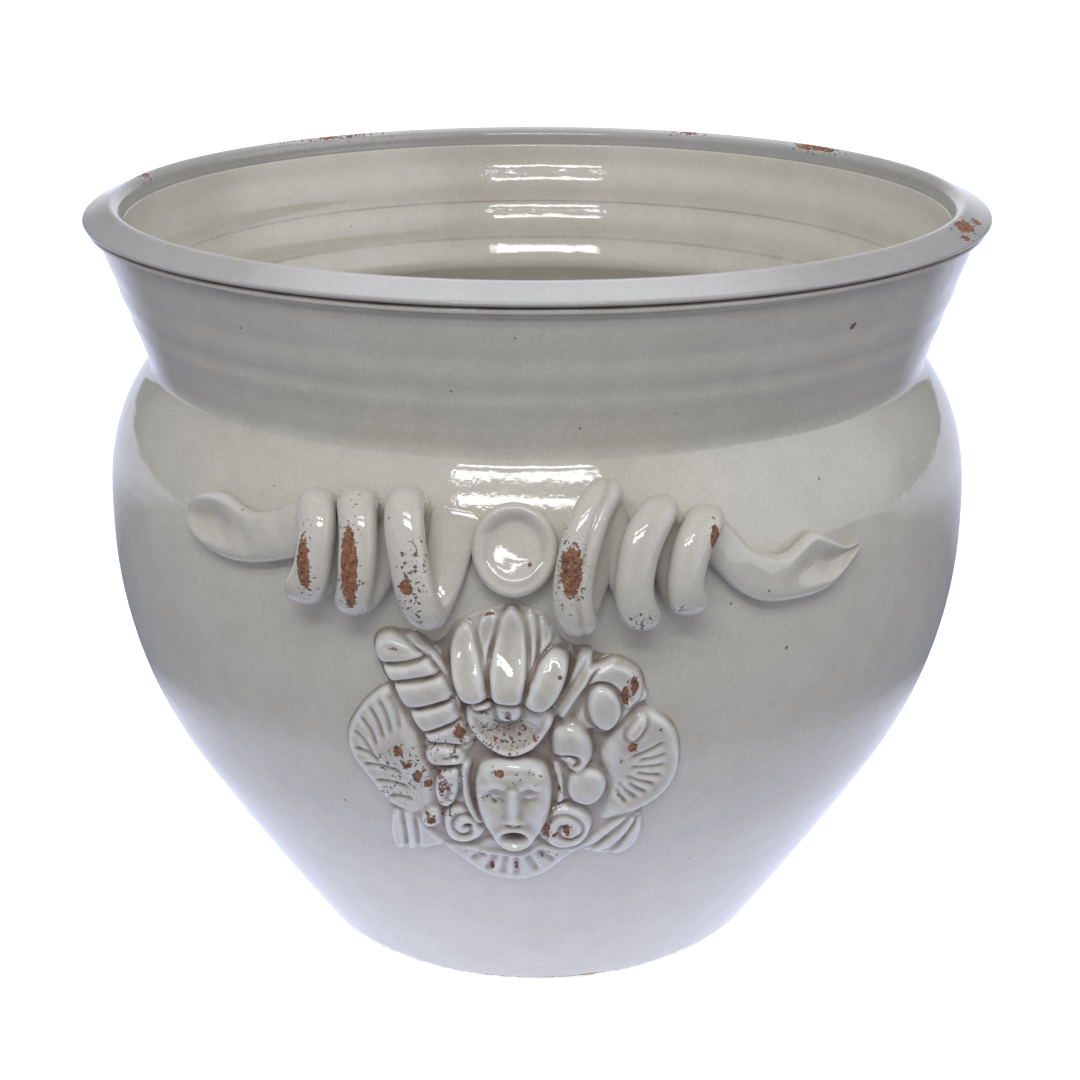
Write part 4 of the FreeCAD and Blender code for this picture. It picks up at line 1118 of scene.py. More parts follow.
        cord = Stroke((
            (-36.5, 206.5), (-31, 202.6), (-26, 197.8), (-22.2, 190.6), (-19.8, 183), (-18.3, 176), (-15.2, 169.8),
            (-13.4, 164)), 1.1, 2.6, 0.06)
        heights = (2.8, 3.0, 3.2, 3.0, 2.0)
        marks = [Lobe(ring, rise, 5.6, 1.3) for ring, rise in zip(rings, heights)]
        marks += [curl, cord, Dab(-21.5, 156.0, 2.0, 1.2, -4.0), Stroke(((-31, 203.5), (-29.5, 199.5)), 0.8, -1.8),
                  Dab(-43.0, 203.0, 4.0, 1.6, -0.9, -20.0)]
        chips = [
            Chip(-19.0, 168.5, 2.6, 3.6, 0.72), Chip(-27.0, 160.0, 5.5, 4.5, 0.0, 0.32),
            Chip(-17.0, 164.0, 3.0, 2.6, 0.45), Chip(-43.0, 203.0, 1.6, 0.8, 0.6)]
        return Sprig("left_horn", outline, 5.6, 4.5, marks, chips)

    def wing(self) -> Sprig:
        """Wing with a sharp ridge, a drop-shaped lobe and bands of folds towards the crest."""
        outline = [
            (13, 178.5), (18.5, 188), (23.5, 198.5), (26.5, 204), (30.5, 203), (32, 198.2), (40, 199.6),
            (48.5, 194), (51, 186), (52.5, 180.5), (47.5, 177.5), (43, 171.5), (39.5, 168.5), (35, 166.8),
            (30, 167.8), (25, 167.6), (20, 169.8), (17, 174)]
        ridge = Stroke(((18.5, 175.5), (22.8, 183.4), (27.1, 190.4), (31, 196.5), (39.5, 198.6)), 0.9, 3.4, 0.05)
        bands = [Stroke(line, 1.2, 1.8, 0.1) for line in (((14.6, 178.8), (20, 188), (25, 198), (27.2, 202.5)),
                                                          ((17.2, 177), (23, 187.5), (28.4, 197.5), (29.8, 201.5)))]
        lobe = Lobe((
            (35.2, 168), (30.2, 172.6), (28.4, 179.6), (28.9, 186), (32.6, 189.4), (37.4, 187.6), (41, 182),
            (41.5, 175.7), (39.2, 170.4)), 3.6, 6.0, 1.7)
        plate = Lobe((
            (31.2, 195), (39.9, 197.6), (47.7, 192.6), (50, 186), (46, 179), (42.4, 178), (41.6, 184), (37.4, 189),
            (32, 190.4), (29, 188)), 1.6, 4.0, 0.9, 0.5)
        marks = [
            ridge, *bands, lobe, plate, Stroke(((22, 173), (26, 181), (28.6, 188)), 1.6, -1.8),
            Stroke(((46, 192.5), (44, 186), (45.5, 180)), 0.7, -1.3)]
        chips = [Chip(42.6, 184.5, 1.6, 5.0, 0.9), Chip(46.0, 189.0, 1.7, 4.6, 0.9)]
        return Sprig("right_wing", outline, 5.4, 4.0, marks, chips)

    def curls(self) -> list[Sprig]:
        """Comma scroll, cheek curls with their locks, volutes and the bead round the face."""
        scroll = [
            (15, 169.5), (19, 173), (25, 173), (29.6, 168.3), (31.6, 159.3), (30, 152.2), (26, 147.8),
            (21.6, 149.5), (19, 153.6), (16, 154.5), (14.6, 162)]
        comma = [
            Stroke(((15.8, 155.6), (20.4, 158), (24.2, 157), (25, 153.8), (22.8, 152.4)), 0.9, -3.4, 0.06),
            Dab(16.8, 155.4, 1.5, 1.2, -3.5), Dab(24.5, 164.5, 5.0, 6.0, 1.4)]
        cheek_right = [
            (14.8, 153), (18.8, 154.5), (21.5, 150), (28, 151.8), (34.2, 149.6), (37.2, 143.5), (35.8, 136.5),
            (30, 131.5), (24, 132.6), (19.5, 133), (16.6, 131), (15.4, 136), (16.4, 145)]
        ball = Lobe((
            (20.6, 143), (22.8, 148.6), (28.1, 151), (33.6, 149), (36.5, 143.4), (35.2, 136.8), (29.9, 132.2),
            (24.3, 133.5), (21.4, 137)), 4.6, 8.0, 1.6)
        fold = [
            Stroke(((15.8, 152), (18.2, 145.6), (18.8, 138.4), (17, 132.3)), 1.1, 2.4),
            Stroke(((19.4, 149.5), (20.2, 143), (20, 136)), 0.7, -1.4)]
        cheek_left = [
            (-30.8, 143.5), (-28, 149), (-21.5, 151), (-17.5, 155.5), (-15, 152), (-16, 145), (-15.5, 136),
            (-13, 128.5), (-10, 123.5), (-13, 121), (-17.4, 126), (-21, 130.5), (-25, 129), (-29.4, 130.2),
            (-31.5, 136.5)]
        ear = Lobe((
            (-29.9, 143.8), (-26.8, 148.6), (-21.3, 150.1), (-19.8, 144.9), (-20.8, 137.6), (-24.3, 130.4),
            (-28.7, 131.1), (-30.6, 136.5)), 3.2, 4.2, 1.4)
        lock = Stroke(((-17, 154.2), (-18, 146.2), (-17.2, 136.7), (-15, 128.1), (-11.7, 122.8)), 1.7, 3.4, 0.06)
        hollow = Stroke(((-26.6, 145.5), (-24.4, 140), (-26.0, 133.5)), 1.1, -2.2)
        volute_left = [
            (-28.2, 124), (-25, 129.8), (-20, 131.2), (-15.4, 128), (-10.6, 123), (-10.4, 117.5), (-15.3, 111.8),
            (-22, 110.2), (-27.4, 114)]
        roll_left = [
            Stroke((
                (-12.2, 121), (-15.8, 126.4), (-21.5, 126.6), (-24, 121), (-21, 116.4), (-17, 117.6),
                (-16.8, 121)), 0.9, -2.2, 0.05), Dab(-17.8, 121.6, 1.6, 1.2, -4.5, 20.0)]
        volute_right = [
            (9, 120), (11, 127.2), (16.4, 131.2), (24, 131), (30.4, 125), (30.6, 117.5), (26, 110.5), (17, 108.6),
            (10.6, 113.2)]
        roll_right = [
            Stroke((
                (13.2, 112.6), (11.8, 120.1), (14.8, 126.4), (20.4, 128.2), (26.2, 124.2), (26.6, 118.4),
                (22, 115.2), (17.6, 118), (18.6, 122.6), (21.6, 121.6)), 0.9, -2.3, 0.04)]
        bead = [
            (-37.8, 121.9), (-35.4, 127.4), (-31.2, 129), (-27.8, 125.6), (-28, 119.6), (-32.3, 116), (-36.6, 117)]
        return [
            Sprig("right_scroll", scroll, 8.2, 6.0, comma, []),
            Sprig("right_cheek_curl", cheek_right, 4.2, 3.0, [ball, *fold], [Chip(17.8, 141.0, 1.0, 2.4, 0.55)]),
            Sprig(
                "left_cheek_curl", cheek_left, 4.4, 3.0, [ear, lock, hollow],
                [
                    Chip(-26.0, 140.5, 2.6, 6.0, 0.42, 0.45), Chip(-19.5, 143.0, 1.0, 4.6, 0.5),
                    Chip(-28.0, 146.0, 2.0, 1.8, 0.55)]),
            Sprig("left_volute", volute_left, 7.4, 4.5, roll_left, [Chip(-25.0, 126.0, 2.6, 2.6, 0.0, 0.4)]),
            Sprig(
                "right_volute", volute_right, 7.8, 4.5, roll_right,
                [
                    Chip(12.5, 121.5, 1.8, 5.6, 0.85), Chip(20.5, 121.5, 1.7, 3.6, 0.8),
                    Chip(16.0, 119.0, 1.2, 1.2, 0.8)]),
            Sprig("left_bead", bead, 6.6, 5.0, [], [Chip(-32.4, 123.4, 2.2, 3.2, 0.7, 0.6)])]

    def shells(self) -> list[Sprig]:
        """Fluted fans at the sides and below the mask, and the hair-like sprays under them."""
        right = [
            (33, 158), (37, 165.5), (43, 172.6), (50, 175), (57, 172.6), (63.4, 165), (66, 155), (65.6, 144),
            (61.2, 134.4), (53.4, 127.6), (43.5, 123), (34, 122), (35.5, 131), (37.5, 140), (34, 150)]
        rim_right = Stroke((
            (52, 172.4), (59.4, 167.6), (63.2, 157), (63, 145), (59, 136.4), (52, 130.6), (42, 126)), 2.0, 1.3, 0.1)
        flutes_right = grooves(fan((35.5, 149.0), (24.0, -64.0), (26.0, 20.0), 8, 0.4), 0.75, -2.0, -0.6)
        leaf_right = Lobe(
            ((43.4, 165), (46, 170), (50, 174), (51.8, 169.5), (49.4, 164.2), (46, 161.2)), 1.5, 2.4, 1.0)
        left = [
            (-48.1, 184), (-56.2, 177.6), (-62.8, 167.8), (-66.4, 158.4), (-65.4, 148.6), (-59.6, 139.8),
            (-52.2, 128.6), (-45.4, 123.4), (-38.2, 122.4), (-30.4, 130.4), (-30.4, 146.7), (-33, 155.6),
            (-34.6, 162.1), (-38.4, 168.2), (-43.6, 176.5)]
        ribs_left = [
            ((-47.6, 181), (-43.2, 165)), ((-51.6, 178.4), (-46.8, 162)), ((-55.6, 174.6), (-50, 159.2)),
            ((-59.4, 169.3), (-53, 155.6)), ((-62.6, 162.1), (-55, 151)), ((-63.2, 153.6), (-52, 147.8)),
            ((-60, 145.6), (-43.7, 144.4)), ((-55.6, 138), (-40.8, 137.2)), ((-50.4, 130.4), (-39.4, 131.2))]
        rim_left = Stroke((
            (-50, 181.4), (-57, 175), (-62.8, 165.4), (-64, 156), (-61.4, 147), (-55, 137), (-49.6, 129),
            (-43, 125)), 1.5, 0.9, 0.08)
        under = [
            (-29.5, 106.4), (-22, 97), (-12.8, 88), (0, 84.6), (10.8, 88.6), (20.8, 99.6), (27, 106.6), (17.5, 108),
            (10.5, 112.5), (0, 113.5), (-10, 113), (-18, 108)]
        flutes = grooves([
            ((-11.9, 103.8), (-17.9, 98.4)), ((-7.8, 102.4), (-11.8, 91.6)), ((-3.8, 101.8), (-5.6, 89.6)),
            ((0.4, 101), (0, 89)), ((4.4, 102.4), (8.4, 92.4)), ((8.9, 105), (15.6, 98.6))], 1.4, -2.8)
        scallop = Stroke((
            (-27, 107), (-18, 107), (-12, 105), (-6, 104.6), (1.3, 103.6), (6, 105.4), (10, 108.4), (16.4, 107),
            (25, 106.8)), 0.9, 1.9, 0.06)
        spray_left = [
            (-39, 124.5), (-45, 124.5), (-50.5, 122), (-52.5, 110), (-51, 100), (-45.5, 98.6), (-38, 100.6),
            (-29, 104.6), (-27.4, 108.6), (-33, 116)]
        hair_left = [
            ((-49.6, 121), (-45.7, 122.7), (-45, 113), (-45.2, 101.8), (-49, 99.9), (-51.2, 107)),
            ((-44.8, 122.5), (-40.5, 123.4), (-40, 113.9), (-40.4, 102.1), (-44.2, 100.3), (-44.4, 111.4)),
            (
                (-39.4, 122.2), (-36, 117.4), (-32.4, 113.5), (-28.4, 107.3), (-33, 104.3), (-38.8, 102.4),
                (-39.4, 112.6))]
        spray_right = [
            (25.4, 106), (30.5, 101), (38, 99.2), (44, 100.4), (49.4, 105), (52, 113.8), (50.8, 122), (44, 124.4),
            (37, 121), (29.5, 114.5)]
        hair_right = [
            ((25.8, 106), (28.7, 111.2), (34.3, 117), (41.8, 122.6), (44.9, 121.4), (39.1, 115.5), (32.4, 108.6)),
            ((30.5, 102.6), (34.3, 108.2), (41, 114.8), (46.1, 121.5), (48.3, 119.8), (43.9, 111.6), (37.2, 104.5)),
            ((38.2, 100.5), (42.9, 107.4), (47.4, 117.1), (50, 120.6), (51, 113.8), (47.8, 105.5), (43, 101.4))]
        scars = [
            Chip(-44.0, 155.5, 2.2, 3.2, 0.85), Chip(-40.5, 150.5, 2.8, 2.4, 0.75),
            Chip(-36.5, 145.0, 2.4, 4.4, 0.72), Chip(-33.0, 140.5, 2.0, 3.0, 0.7),
            Chip(-47.0, 133.5, 6.0, 3.0, 0.0, 0.35), Chip(-40.0, 148.0, 8.0, 8.0, 0.0, 0.42)]
        pits = [
            Chip(-9.6, 95.0, 1.1, 2.2, 0.85), Chip(0.3, 95.0, 0.9, 3.0, 0.75),
            Chip(-14.0, 103.0, 4.0, 2.0, 0.0, 0.3), Chip(13.0, 104.0, 4.0, 2.0, 0.0, 0.35)]
        return [
            Sprig(
                "right_shell", right, 4.4, 5.0,
                [
                    *flutes_right, rim_right, leaf_right, Dab(38.5, 156.0, 4.0, 6.0, 2.6),
                    Dab(40.0, 129.0, 5.0, 3.0, 1.4, 20.0)],
                [
                    Chip(46.0, 158.6, 2.1, 2.1, 0.95), Chip(41.5, 153.4, 0.9, 1.3, 0.85),
                    Chip(57.0, 166.0, 0.7, 0.7, 0.8), Chip(41.0, 135.0, 0.8, 0.8, 0.75)]),
            Sprig(
                "left_shell", left, 4.6, 5.0,
                [
                    *grooves(ribs_left, 0.75, -1.9, 1.0), rim_left, Dab(-38.0, 149.0, 5.0, 7.0, 2.4),
                    Dab(-40.0, 160.0, 4.0, 6.0, 1.6)], scars),
            Sprig("bottom_shell", under, 4.0, 3.4, [*flutes, scallop, Dab(0.0, 108.5, 8.0, 2.4, -1.4)], pits),
            Sprig("left_spray", spray_left, 2.4, 3.0, [Lobe(hair, 2.0, 2.4, 1.0) for hair in hair_left]),
            Sprig("right_spray", spray_right, 2.4, 3.0, [Lobe(hair, 2.0, 2.4, 1.0) for hair in hair_right])]

    def joined(self, sprigs: list[Sprig], x: Array, y: Array) -> tuple[Array, Array]:
        """Works out the shared field.

        Args:
            sprigs: The ornaments.
            x: Grid of side coordinates.
            y: Grid of heights on the wall.

        Returns:
            Distance of the glazed surface off the wall, and the number of the sprig that owns each place.
        """
        plain = np.full((len(sprigs), *x.shape), self.far_below)
        clay = np.full((len(sprigs) + 1, *x.shape), self.far_below)
        for n, sprig in enumerate(sprigs):
            corner = np.asarray(sprig.outline)
            low, high = corner.min(axis=0) - self.reach, corner.max(axis=0) + self.reach
            columns = slice(*np.searchsorted(x[0], (low[0], high[0])))
            rows = slice(*np.searchsorted(y[:, 0], (low[1], high[1])))
            for field_of, near in zip((plain, clay), sprig.heights(x[rows, columns], y[rows, columns])):
                field_of[n, rows, columns] = np.maximum(near, self.far_below)
        bed_depth = loop_depth(x, y, smooth_line(list(self.bed), 160, closed=True))
        clay[-1] = np.where(bed_depth > 0.0, self.bed_height * ramp(bed_depth, 0.0, self.bed_edge), 0.8 * bed_depth)
        top = clay.max(axis=0)
        whole = top + np.log(np.exp(self.join * (clay - top)).sum(axis=0)) / self.join
        whole = blur(whole - self.settling, self.softness / self.cell)
        lift = 0.5 * (whole + np.sqrt(whole**2 + self.fillet**2)) - self.sink
        owner = np.stack([blur(one, self.owner_softness / self.cell) for one in plain]).argmax(axis=0)
        return lift, owner

    def paint(self, lift: Array, chips: list[Chip], x: Array, y: Array) -> dict[str, Array]:
        """Values that the finish reads: crevices lie below the average of their neighbourhood and are darkened,
        pooled glaze with painted shade; edges lie above it and are paled, a painted highlight.

        Args:
            lift: Distance of the glazed surface off the wall.
            chips: Flaked patches of all ornaments.
            x: Grid of side coordinates.
            y: Grid of heights on the wall.

        Returns:
            Values by layer.
        """
        # Crevices and the joint with the wall darken as pooled glaze with painted shade; edges above their
        # neighbourhood get a painted highlight.
        fine, broad = (np.clip((blur(lift, width / self.cell) - lift) / depth, 0.0, 1.0)
                       for width, depth in zip(self.stain_and_shade_widths, self.stain_and_shade_depths))
        edge = np.clip((lift - blur(lift, self.edge_width / self.cell)) / self.edge_rise, 0.0, 1.0)
        joint = 0.4 * (1.0 - ramp(lift, 0.0, 1.2))
        stain_and_shade = np.maximum.reduce([fine, 0.8 * broad, joint])
        return {"cavity": stain_and_shade, "edge": edge, **worn(chips, x, y, ramp(lift, 0.6, 1.6))}

    def cut(self, quads: Array, x: Array, y: Array, lift: Array, layers: dict[str, Array]) -> Skin:
        """Takes some faces out of the shared field and closes them with a skirt and a fan inside the wall.

        Args:
            quads: Faces of the field, as numbers of grid points.
            x: Grid of side coordinates.
            y: Grid of heights on the wall.
            lift: Distance of the glazed surface off the wall.
            layers: Painted values over the grid.

        Returns:
            The closed surface, with a hard edge along the cut.
        """
        used = np.unique(quads)
        quads = np.searchsorted(used, quads)
        sides = np.vstack([quads[:, [k, (k + 1) % 4]] for k in range(4)])
        code = sides.min(axis=1) * len(used) + sides.max(axis=1)
        _, first, repeats = np.unique(code, return_index=True, return_counts=True)
        border = sides[first[repeats == 1]]
        ring = np.unique(border)
        u, v = x.ravel()[used], y.ravel()[used]
        points = np.vstack([WALL.point(u, v, lift.ravel()[used]),
                            WALL.point(u[ring], v[ring], np.full(len(ring), -self.skirt_depth)),
                            WALL.point(u.mean(), v.mean(), -self.fan_depth)])
        below = len(used) + np.searchsorted(ring, border)
        skirt = np.stack([border[:, 1], border[:, 0], below[:, 0], below[:, 1]], axis=1)
        closing = np.stack([below[:, 1], below[:, 0], np.full(len(border), len(points) - 1)], axis=1)
        paint = {k: np.concatenate([w.ravel()[used], np.zeros(len(ring) + 1)]) for k, w in layers.items()}
        return Skin(points, np.vstack([quads, skirt]), closing, paint, border)

    def build(self, glaze: bpy.types.Material) -> None:
        """Cuts the shared field into the sprigs' pieces."""
        sprigs = [*self.shells(), self.horn(), self.wing(), self.crest(), self.diadem(), *self.curls(), self.face()]
        x, y = np.meshgrid(np.arange(*self.side_span, self.cell), np.arange(*self.height_span, self.cell))
        lift, owner = self.joined(sprigs, x, y)
        layers = self.paint(lift, [chip for sprig in sprigs for chip in sprig.chips], x, y)
        keep = lift > -0.2
        shown = keep[:-1, :-1] & keep[1:, :-1] & keep[:-1, 1:] & keep[1:, 1:]
        faces = grid_faces(*x.shape, False, False)
        for n, sprig in enumerate(sprigs):
            quads = faces[(shown & (owner[:-1, :-1] == n)).ravel()]
            self.cut(quads, x, y, lift, layers).piece(sprig.name, glaze, Slot.RELIEF)


# Finishes


class NodeSheet:
    """Shorthand for laying out the nodes of one tree."""

    def __init__(self, tree: bpy.types.NodeTree) -> None:
        """Keeps the tree and empties it."""
        self.tree = tree
        tree.nodes.clear()

    def add(self, kind: str, inputs: dict | None = None, **settings: object) -> bpy.types.Node:
        """Adds a node.

        Args:
            kind: Node type.
            inputs: Socket name or number to a value or to another node's socket.
            settings: Properties of the node.

        Returns:
            The new node.
        """
        node = self.tree.nodes.new(kind)
        for name, value in settings.items():
            setattr(node, name, value)
        for name, value in (inputs or {}).items():
            if isinstance(value, bpy.types.NodeSocket):
                self.tree.links.new(value, node.inputs[name])
            else:
                node.inputs[name].default_value = value
        return node

    def math(self, operation: str, a: object, b: object = 0.0, clamp: bool = False) -> bpy.types.NodeSocket:
        """Result of a Math node."""
        return self.add("ShaderNodeMath", {0: a, 1: b}, operation=operation, use_clamp=clamp).outputs[0]

    def scaled(self, value: object, factor: float, offset: float) -> bpy.types.NodeSocket:
        """Value times a factor plus an offset."""
        return self.add("ShaderNodeMath", {0: value, 1: factor, 2: offset}, operation="MULTIPLY_ADD").outputs[0]

    def remap(
            self, value: object, low: float, high: float, to_low: float = 0.0,
            to_high: float = 1.0) -> bpy.types.NodeSocket:
        """Value moved smoothly from one range to another, held at its ends."""
        inputs = {"Value": value, "From Min": low, "From Max": high, "To Min": to_low, "To Max": to_high}
        return self.add("ShaderNodeMapRange", inputs, interpolation_type="SMOOTHSTEP").outputs["Result"]

    def mix(self, share: object, a: object, b: object) -> bpy.types.NodeSocket:
        """Colour between two colours."""
        node = self.add("ShaderNodeMix", {0: share, 6: a, 7: b}, data_type="RGBA")
        return node.outputs[2]

    def noise(self, place: object, scale: object, detail: float, rough: float = 0.55) -> bpy.types.NodeSocket:
        """Value of a noise pattern."""
        inputs = {"Vector": place, "Scale": scale, "Detail": detail, "Roughness": rough}
        return self.add("ShaderNodeTexNoise", inputs).outputs[0]


Group = tuple[bpy.types.NodeTree, NodeSheet, bpy.types.Node]


def new_group(name: str, inputs: dict[str, str], outputs: dict[str, str]) -> Group:
    """Starts a shader node group.

    Args:
        name: Name of the group.
        inputs: Socket names and types.
        outputs: Socket names and types.

    Returns:
        The tree, its sheet and its input node.
    """
    tree = bpy.data.node_groups.new(name, "ShaderNodeTree")
    for direction, sockets in (("INPUT", inputs), ("OUTPUT", outputs)):
        for socket, kind in sockets.items():
            tree.interface.new_socket(socket, in_out=direction, socket_type="NodeSocket" + kind)
    sheet = NodeSheet(tree)
    return tree, sheet, sheet.add("NodeGroupInput")


def cloudy_glaze() -> bpy.types.NodeTree:
    """Group for the glaze's colour drift: broad clouds, finger-wide drift and fine grain, each from 0 to 1."""
    tree, sheet, given = new_group(
        "cloudy_glaze", {"Place": "Vector"}, {"Cloud": "Float", "Drift": "Float", "Grain": "Float"})
    place = given.outputs["Place"]
    cloud = sheet.remap(sheet.noise(place, 9.0, 3.0), 0.3, 0.7)
    drift = sheet.remap(sheet.noise(place, 70.0, 4.0), 0.3, 0.7)
    grain = sheet.remap(sheet.noise(place, 700.0, 3.0, 0.7), 0.3, 0.7)
    sheet.add("NodeGroupOutput", {"Cloud": cloud, "Drift": drift, "Grain": grain})
    return tree


def flaked_glaze() -> bpy.types.NodeTree:
    """Group for flaked glaze: noises eat into the painted likelihoods, giving bare clay and a flake's rim."""
    tree, sheet, given = new_group("flaked_glaze", {"Place": "Vector", "Chip": "Float", "Speck": "Float"},
                                   {"Bare": "Float", "Rim": "Float", "Dust": "Float"})
    place, chip, speck = (given.outputs[n] for n in ("Place", "Chip", "Speck"))
    coarse = sheet.remap(sheet.noise(place, 330.0, 6.0, 0.6), 0.28, 0.72)
    fine = sheet.remap(sheet.noise(place, 1400.0, 3.0, 0.6), 0.25, 0.75)
    eaten = sheet.math("ADD", sheet.math("MULTIPLY", coarse, 0.6), sheet.math("MULTIPLY", fine, 0.4))
    level = sheet.math("SUBTRACT", chip, eaten)
    shown = sheet.math("GREATER_THAN", chip, 0.05)
    flake = sheet.math("MULTIPLY", sheet.remap(level, -0.02, 0.03), shown)
    rim = sheet.math("MULTIPLY", sheet.remap(level, -0.26, -0.03), shown)
    dots = sheet.remap(sheet.noise(place, 620.0, 2.0, 0.55), 0.3, 0.7)
    dust = sheet.math("SUBTRACT", sheet.math("ADD", dots, sheet.math("MULTIPLY", speck, 0.55)), 1.0)
    dust = sheet.math("MULTIPLY", sheet.remap(dust, -0.02, 0.05), sheet.math("GREATER_THAN", speck, 0.03))
    sheet.add("NodeGroupOutput", {"Bare": flake, "Rim": rim, "Dust": dust})
    return tree


def pin_holes() -> bpy.types.NodeTree:
    """Group for pin holes and specks: a small dot in some cells of a cell pattern."""
    tree, sheet, given = new_group(
        "pin_holes", {"Place": "Vector", "Scale": "Float", "Share": "Float"}, {"Hole": "Float"})
    cells = sheet.add("ShaderNodeTexVoronoi", {"Vector": given.outputs["Place"], "Scale": given.outputs["Scale"]})
    lot = sheet.add("ShaderNodeSeparateColor", {0: cells.outputs["Color"]})
    picked = sheet.math("LESS_THAN", lot.outputs[0], given.outputs["Share"])
    near = sheet.math("LESS_THAN", cells.outputs["Distance"], sheet.scaled(lot.outputs[1], 0.05, 0.02))
    sheet.add("NodeGroupOutput", {"Hole": sheet.math("MULTIPLY", picked, near)})
    return tree


@dataclass(frozen=True)
class Glaze:
    """Glossy off-white glaze over red clay."""

    name: str
    light: Colour
    dark: Colour
    # crevice: pooled glaze with painted shade; raised: painted highlight on edges, also the pale rim round a flake.
    crevice: Colour = (0.175, 0.108, 0.075)
    raised: Colour = (0.84, 0.84, 0.83)
    clay: Colour = (0.40, 0.185, 0.10)
    deep_clay: Colour = (0.13, 0.055, 0.03)
    dust: Colour = (0.085, 0.045, 0.03)
    hole: Colour = (0.16, 0.125, 0.1)
    cloud_share: float = 0.3
    drift_share: float = 0.25
    grain_share: float = 0.45
    crevice_share: float = 0.9
    raised_share: float = 0.7
    flake_rim_share: float = 0.55
    hole_share: float = 0.16
    hole_scale: float = 85.0
    gloss: float = 0.035
    bump_depth: float = 0.5

    def material(self, groups: dict[str, bpy.types.NodeTree]) -> bpy.types.Material:
        """Lays out the finish: clouded colour, crevices darkened (pooled glaze with painted shade), raised edges
        paled (painted highlight), pin holes and flakes.

        Args:
            groups: Shared node groups by name.

        Returns:
            The material.
        """
        made = bpy.data.materials.new(self.name)
        made.use_nodes = True
        sheet = NodeSheet(made.node_tree)
        place = sheet.add("ShaderNodeTexCoord").outputs["Object"]
        paint = {k: sheet.add("ShaderNodeAttribute", attribute_name=k).outputs["Fac"] for k in LAYERS}
        tone = sheet.add("ShaderNodeGroup", node_tree=groups["cloudy_glaze"])
        flake = sheet.add("ShaderNodeGroup", node_tree=groups["flaked_glaze"])
        pits = sheet.add("ShaderNodeGroup", node_tree=groups["pin_holes"])
        for node in (tone, flake, pits):
            sheet.tree.links.new(place, node.inputs["Place"])
        sheet.tree.links.new(paint["chip"], flake.inputs["Chip"])
        sheet.tree.links.new(paint["speck"], flake.inputs["Speck"])
        pits.inputs["Scale"].default_value = self.hole_scale
        pits.inputs["Share"].default_value = self.hole_share
        drift, grain = tone.outputs["Drift"], tone.outputs["Grain"]
        bare, hole = flake.outputs["Bare"], pits.outputs["Hole"]
        blend = sheet.math("ADD", sheet.math("MULTIPLY", tone.outputs["Cloud"], self.cloud_share),
                           sheet.math("MULTIPLY", drift, self.drift_share))
        blend = sheet.math("ADD", blend, sheet.math("MULTIPLY", grain, self.grain_share), clamp=True)
        colour = sheet.mix(blend, (*self.light, 1.0), (*self.dark, 1.0))
        uneven = sheet.remap(drift, 0.0, 1.0, 0.6 * self.crevice_share, self.crevice_share)
        # Painted shade with pooled glaze in crevices.
        colour = sheet.mix(sheet.math("MULTIPLY", paint["cavity"], uneven), colour, (*self.crevice, 1.0))
        # Painted highlight on raised edges, and the pale rim round each flake.
        pale = sheet.math("MAXIMUM", sheet.math("MULTIPLY", paint["edge"], self.raised_share),
                          sheet.math("MULTIPLY", flake.outputs["Rim"], self.flake_rim_share))
        colour = sheet.mix(pale, colour, (*self.raised, 1.0))
        colour = sheet.mix(sheet.math("MULTIPLY", hole, 0.75), colour, (*self.hole, 1.0))
        body = sheet.mix(sheet.math("MULTIPLY", grain, 0.9), (*self.clay, 1.0), (*self.deep_clay, 1.0))
        colour = sheet.mix(bare, colour, body)
        dusted = sheet.math("MULTIPLY", flake.outputs["Dust"], 0.85)
        colour = sheet.mix(dusted, colour, (*self.dust, 1.0))
        rough = sheet.math("MAXIMUM", sheet.scaled(drift, 0.03, self.gloss), sheet.math("MULTIPLY", bare, 0.9))
        height = sheet.math("ADD", sheet.math("MULTIPLY", drift, 0.16), sheet.math("MULTIPLY", grain, 0.008))
        height = sheet.math("SUBTRACT", height, sheet.math("MULTIPLY", hole, 0.6))
        height = sheet.math("SUBTRACT", height, sheet.math("MULTIPLY", bare, sheet.scaled(grain, 0.5, 0.7)))
        bump = sheet.add("ShaderNodeBump", {"Height": height, "Strength": 0.8, "Distance": self.bump_depth * MM})
        shader = sheet.add("ShaderNodeBsdfPrincipled", {
            "Base Color": colour, "Roughness": rough, "Normal": bump.outputs[0], "IOR": 1.52})
        sheet.add("ShaderNodeOutputMaterial", {"Surface": shader.outputs[0]})
        return made


# Studio


@dataclass(frozen=True)
class SoftBox:
    """Rectangular soft light; its place and size are in metres and its power in watts."""

    name: str
    at: Point
    size: Place
    power: float
    colour: Colour = (0.97, 0.985, 1.0)
    mirrored: bool = True

    def hang(self, aim: Point) -> None:
        """Adds the light to the scene, turned towards a point."""
        lamp = bpy.data.lights.new(self.name, "AREA")
        lamp.shape = "RECTANGLE"
        lamp.size, lamp.size_y = self.size
        lamp.energy, lamp.color = self.power, self.colour
        thing = bpy.data.objects.new(self.name, lamp)
        thing.location = self.at
        way = np.asarray(aim) - np.asarray(self.at)
        rise = math.atan2(way[2], math.hypot(way[0], way[1]))
        thing.rotation_euler = (math.pi / 2 + rise, 0.0, math.atan2(-way[0], way[1]))
        thing.visible_glossy = self.mirrored
        bpy.context.scene.collection.objects.link(thing)


@dataclass(frozen=True)
class Glow:
    """Bright part of the surround as the glaze mirrors it: full inside one angle's cosine, gone at another's."""

    aim: Point
    near: float
    far: float
    level: float


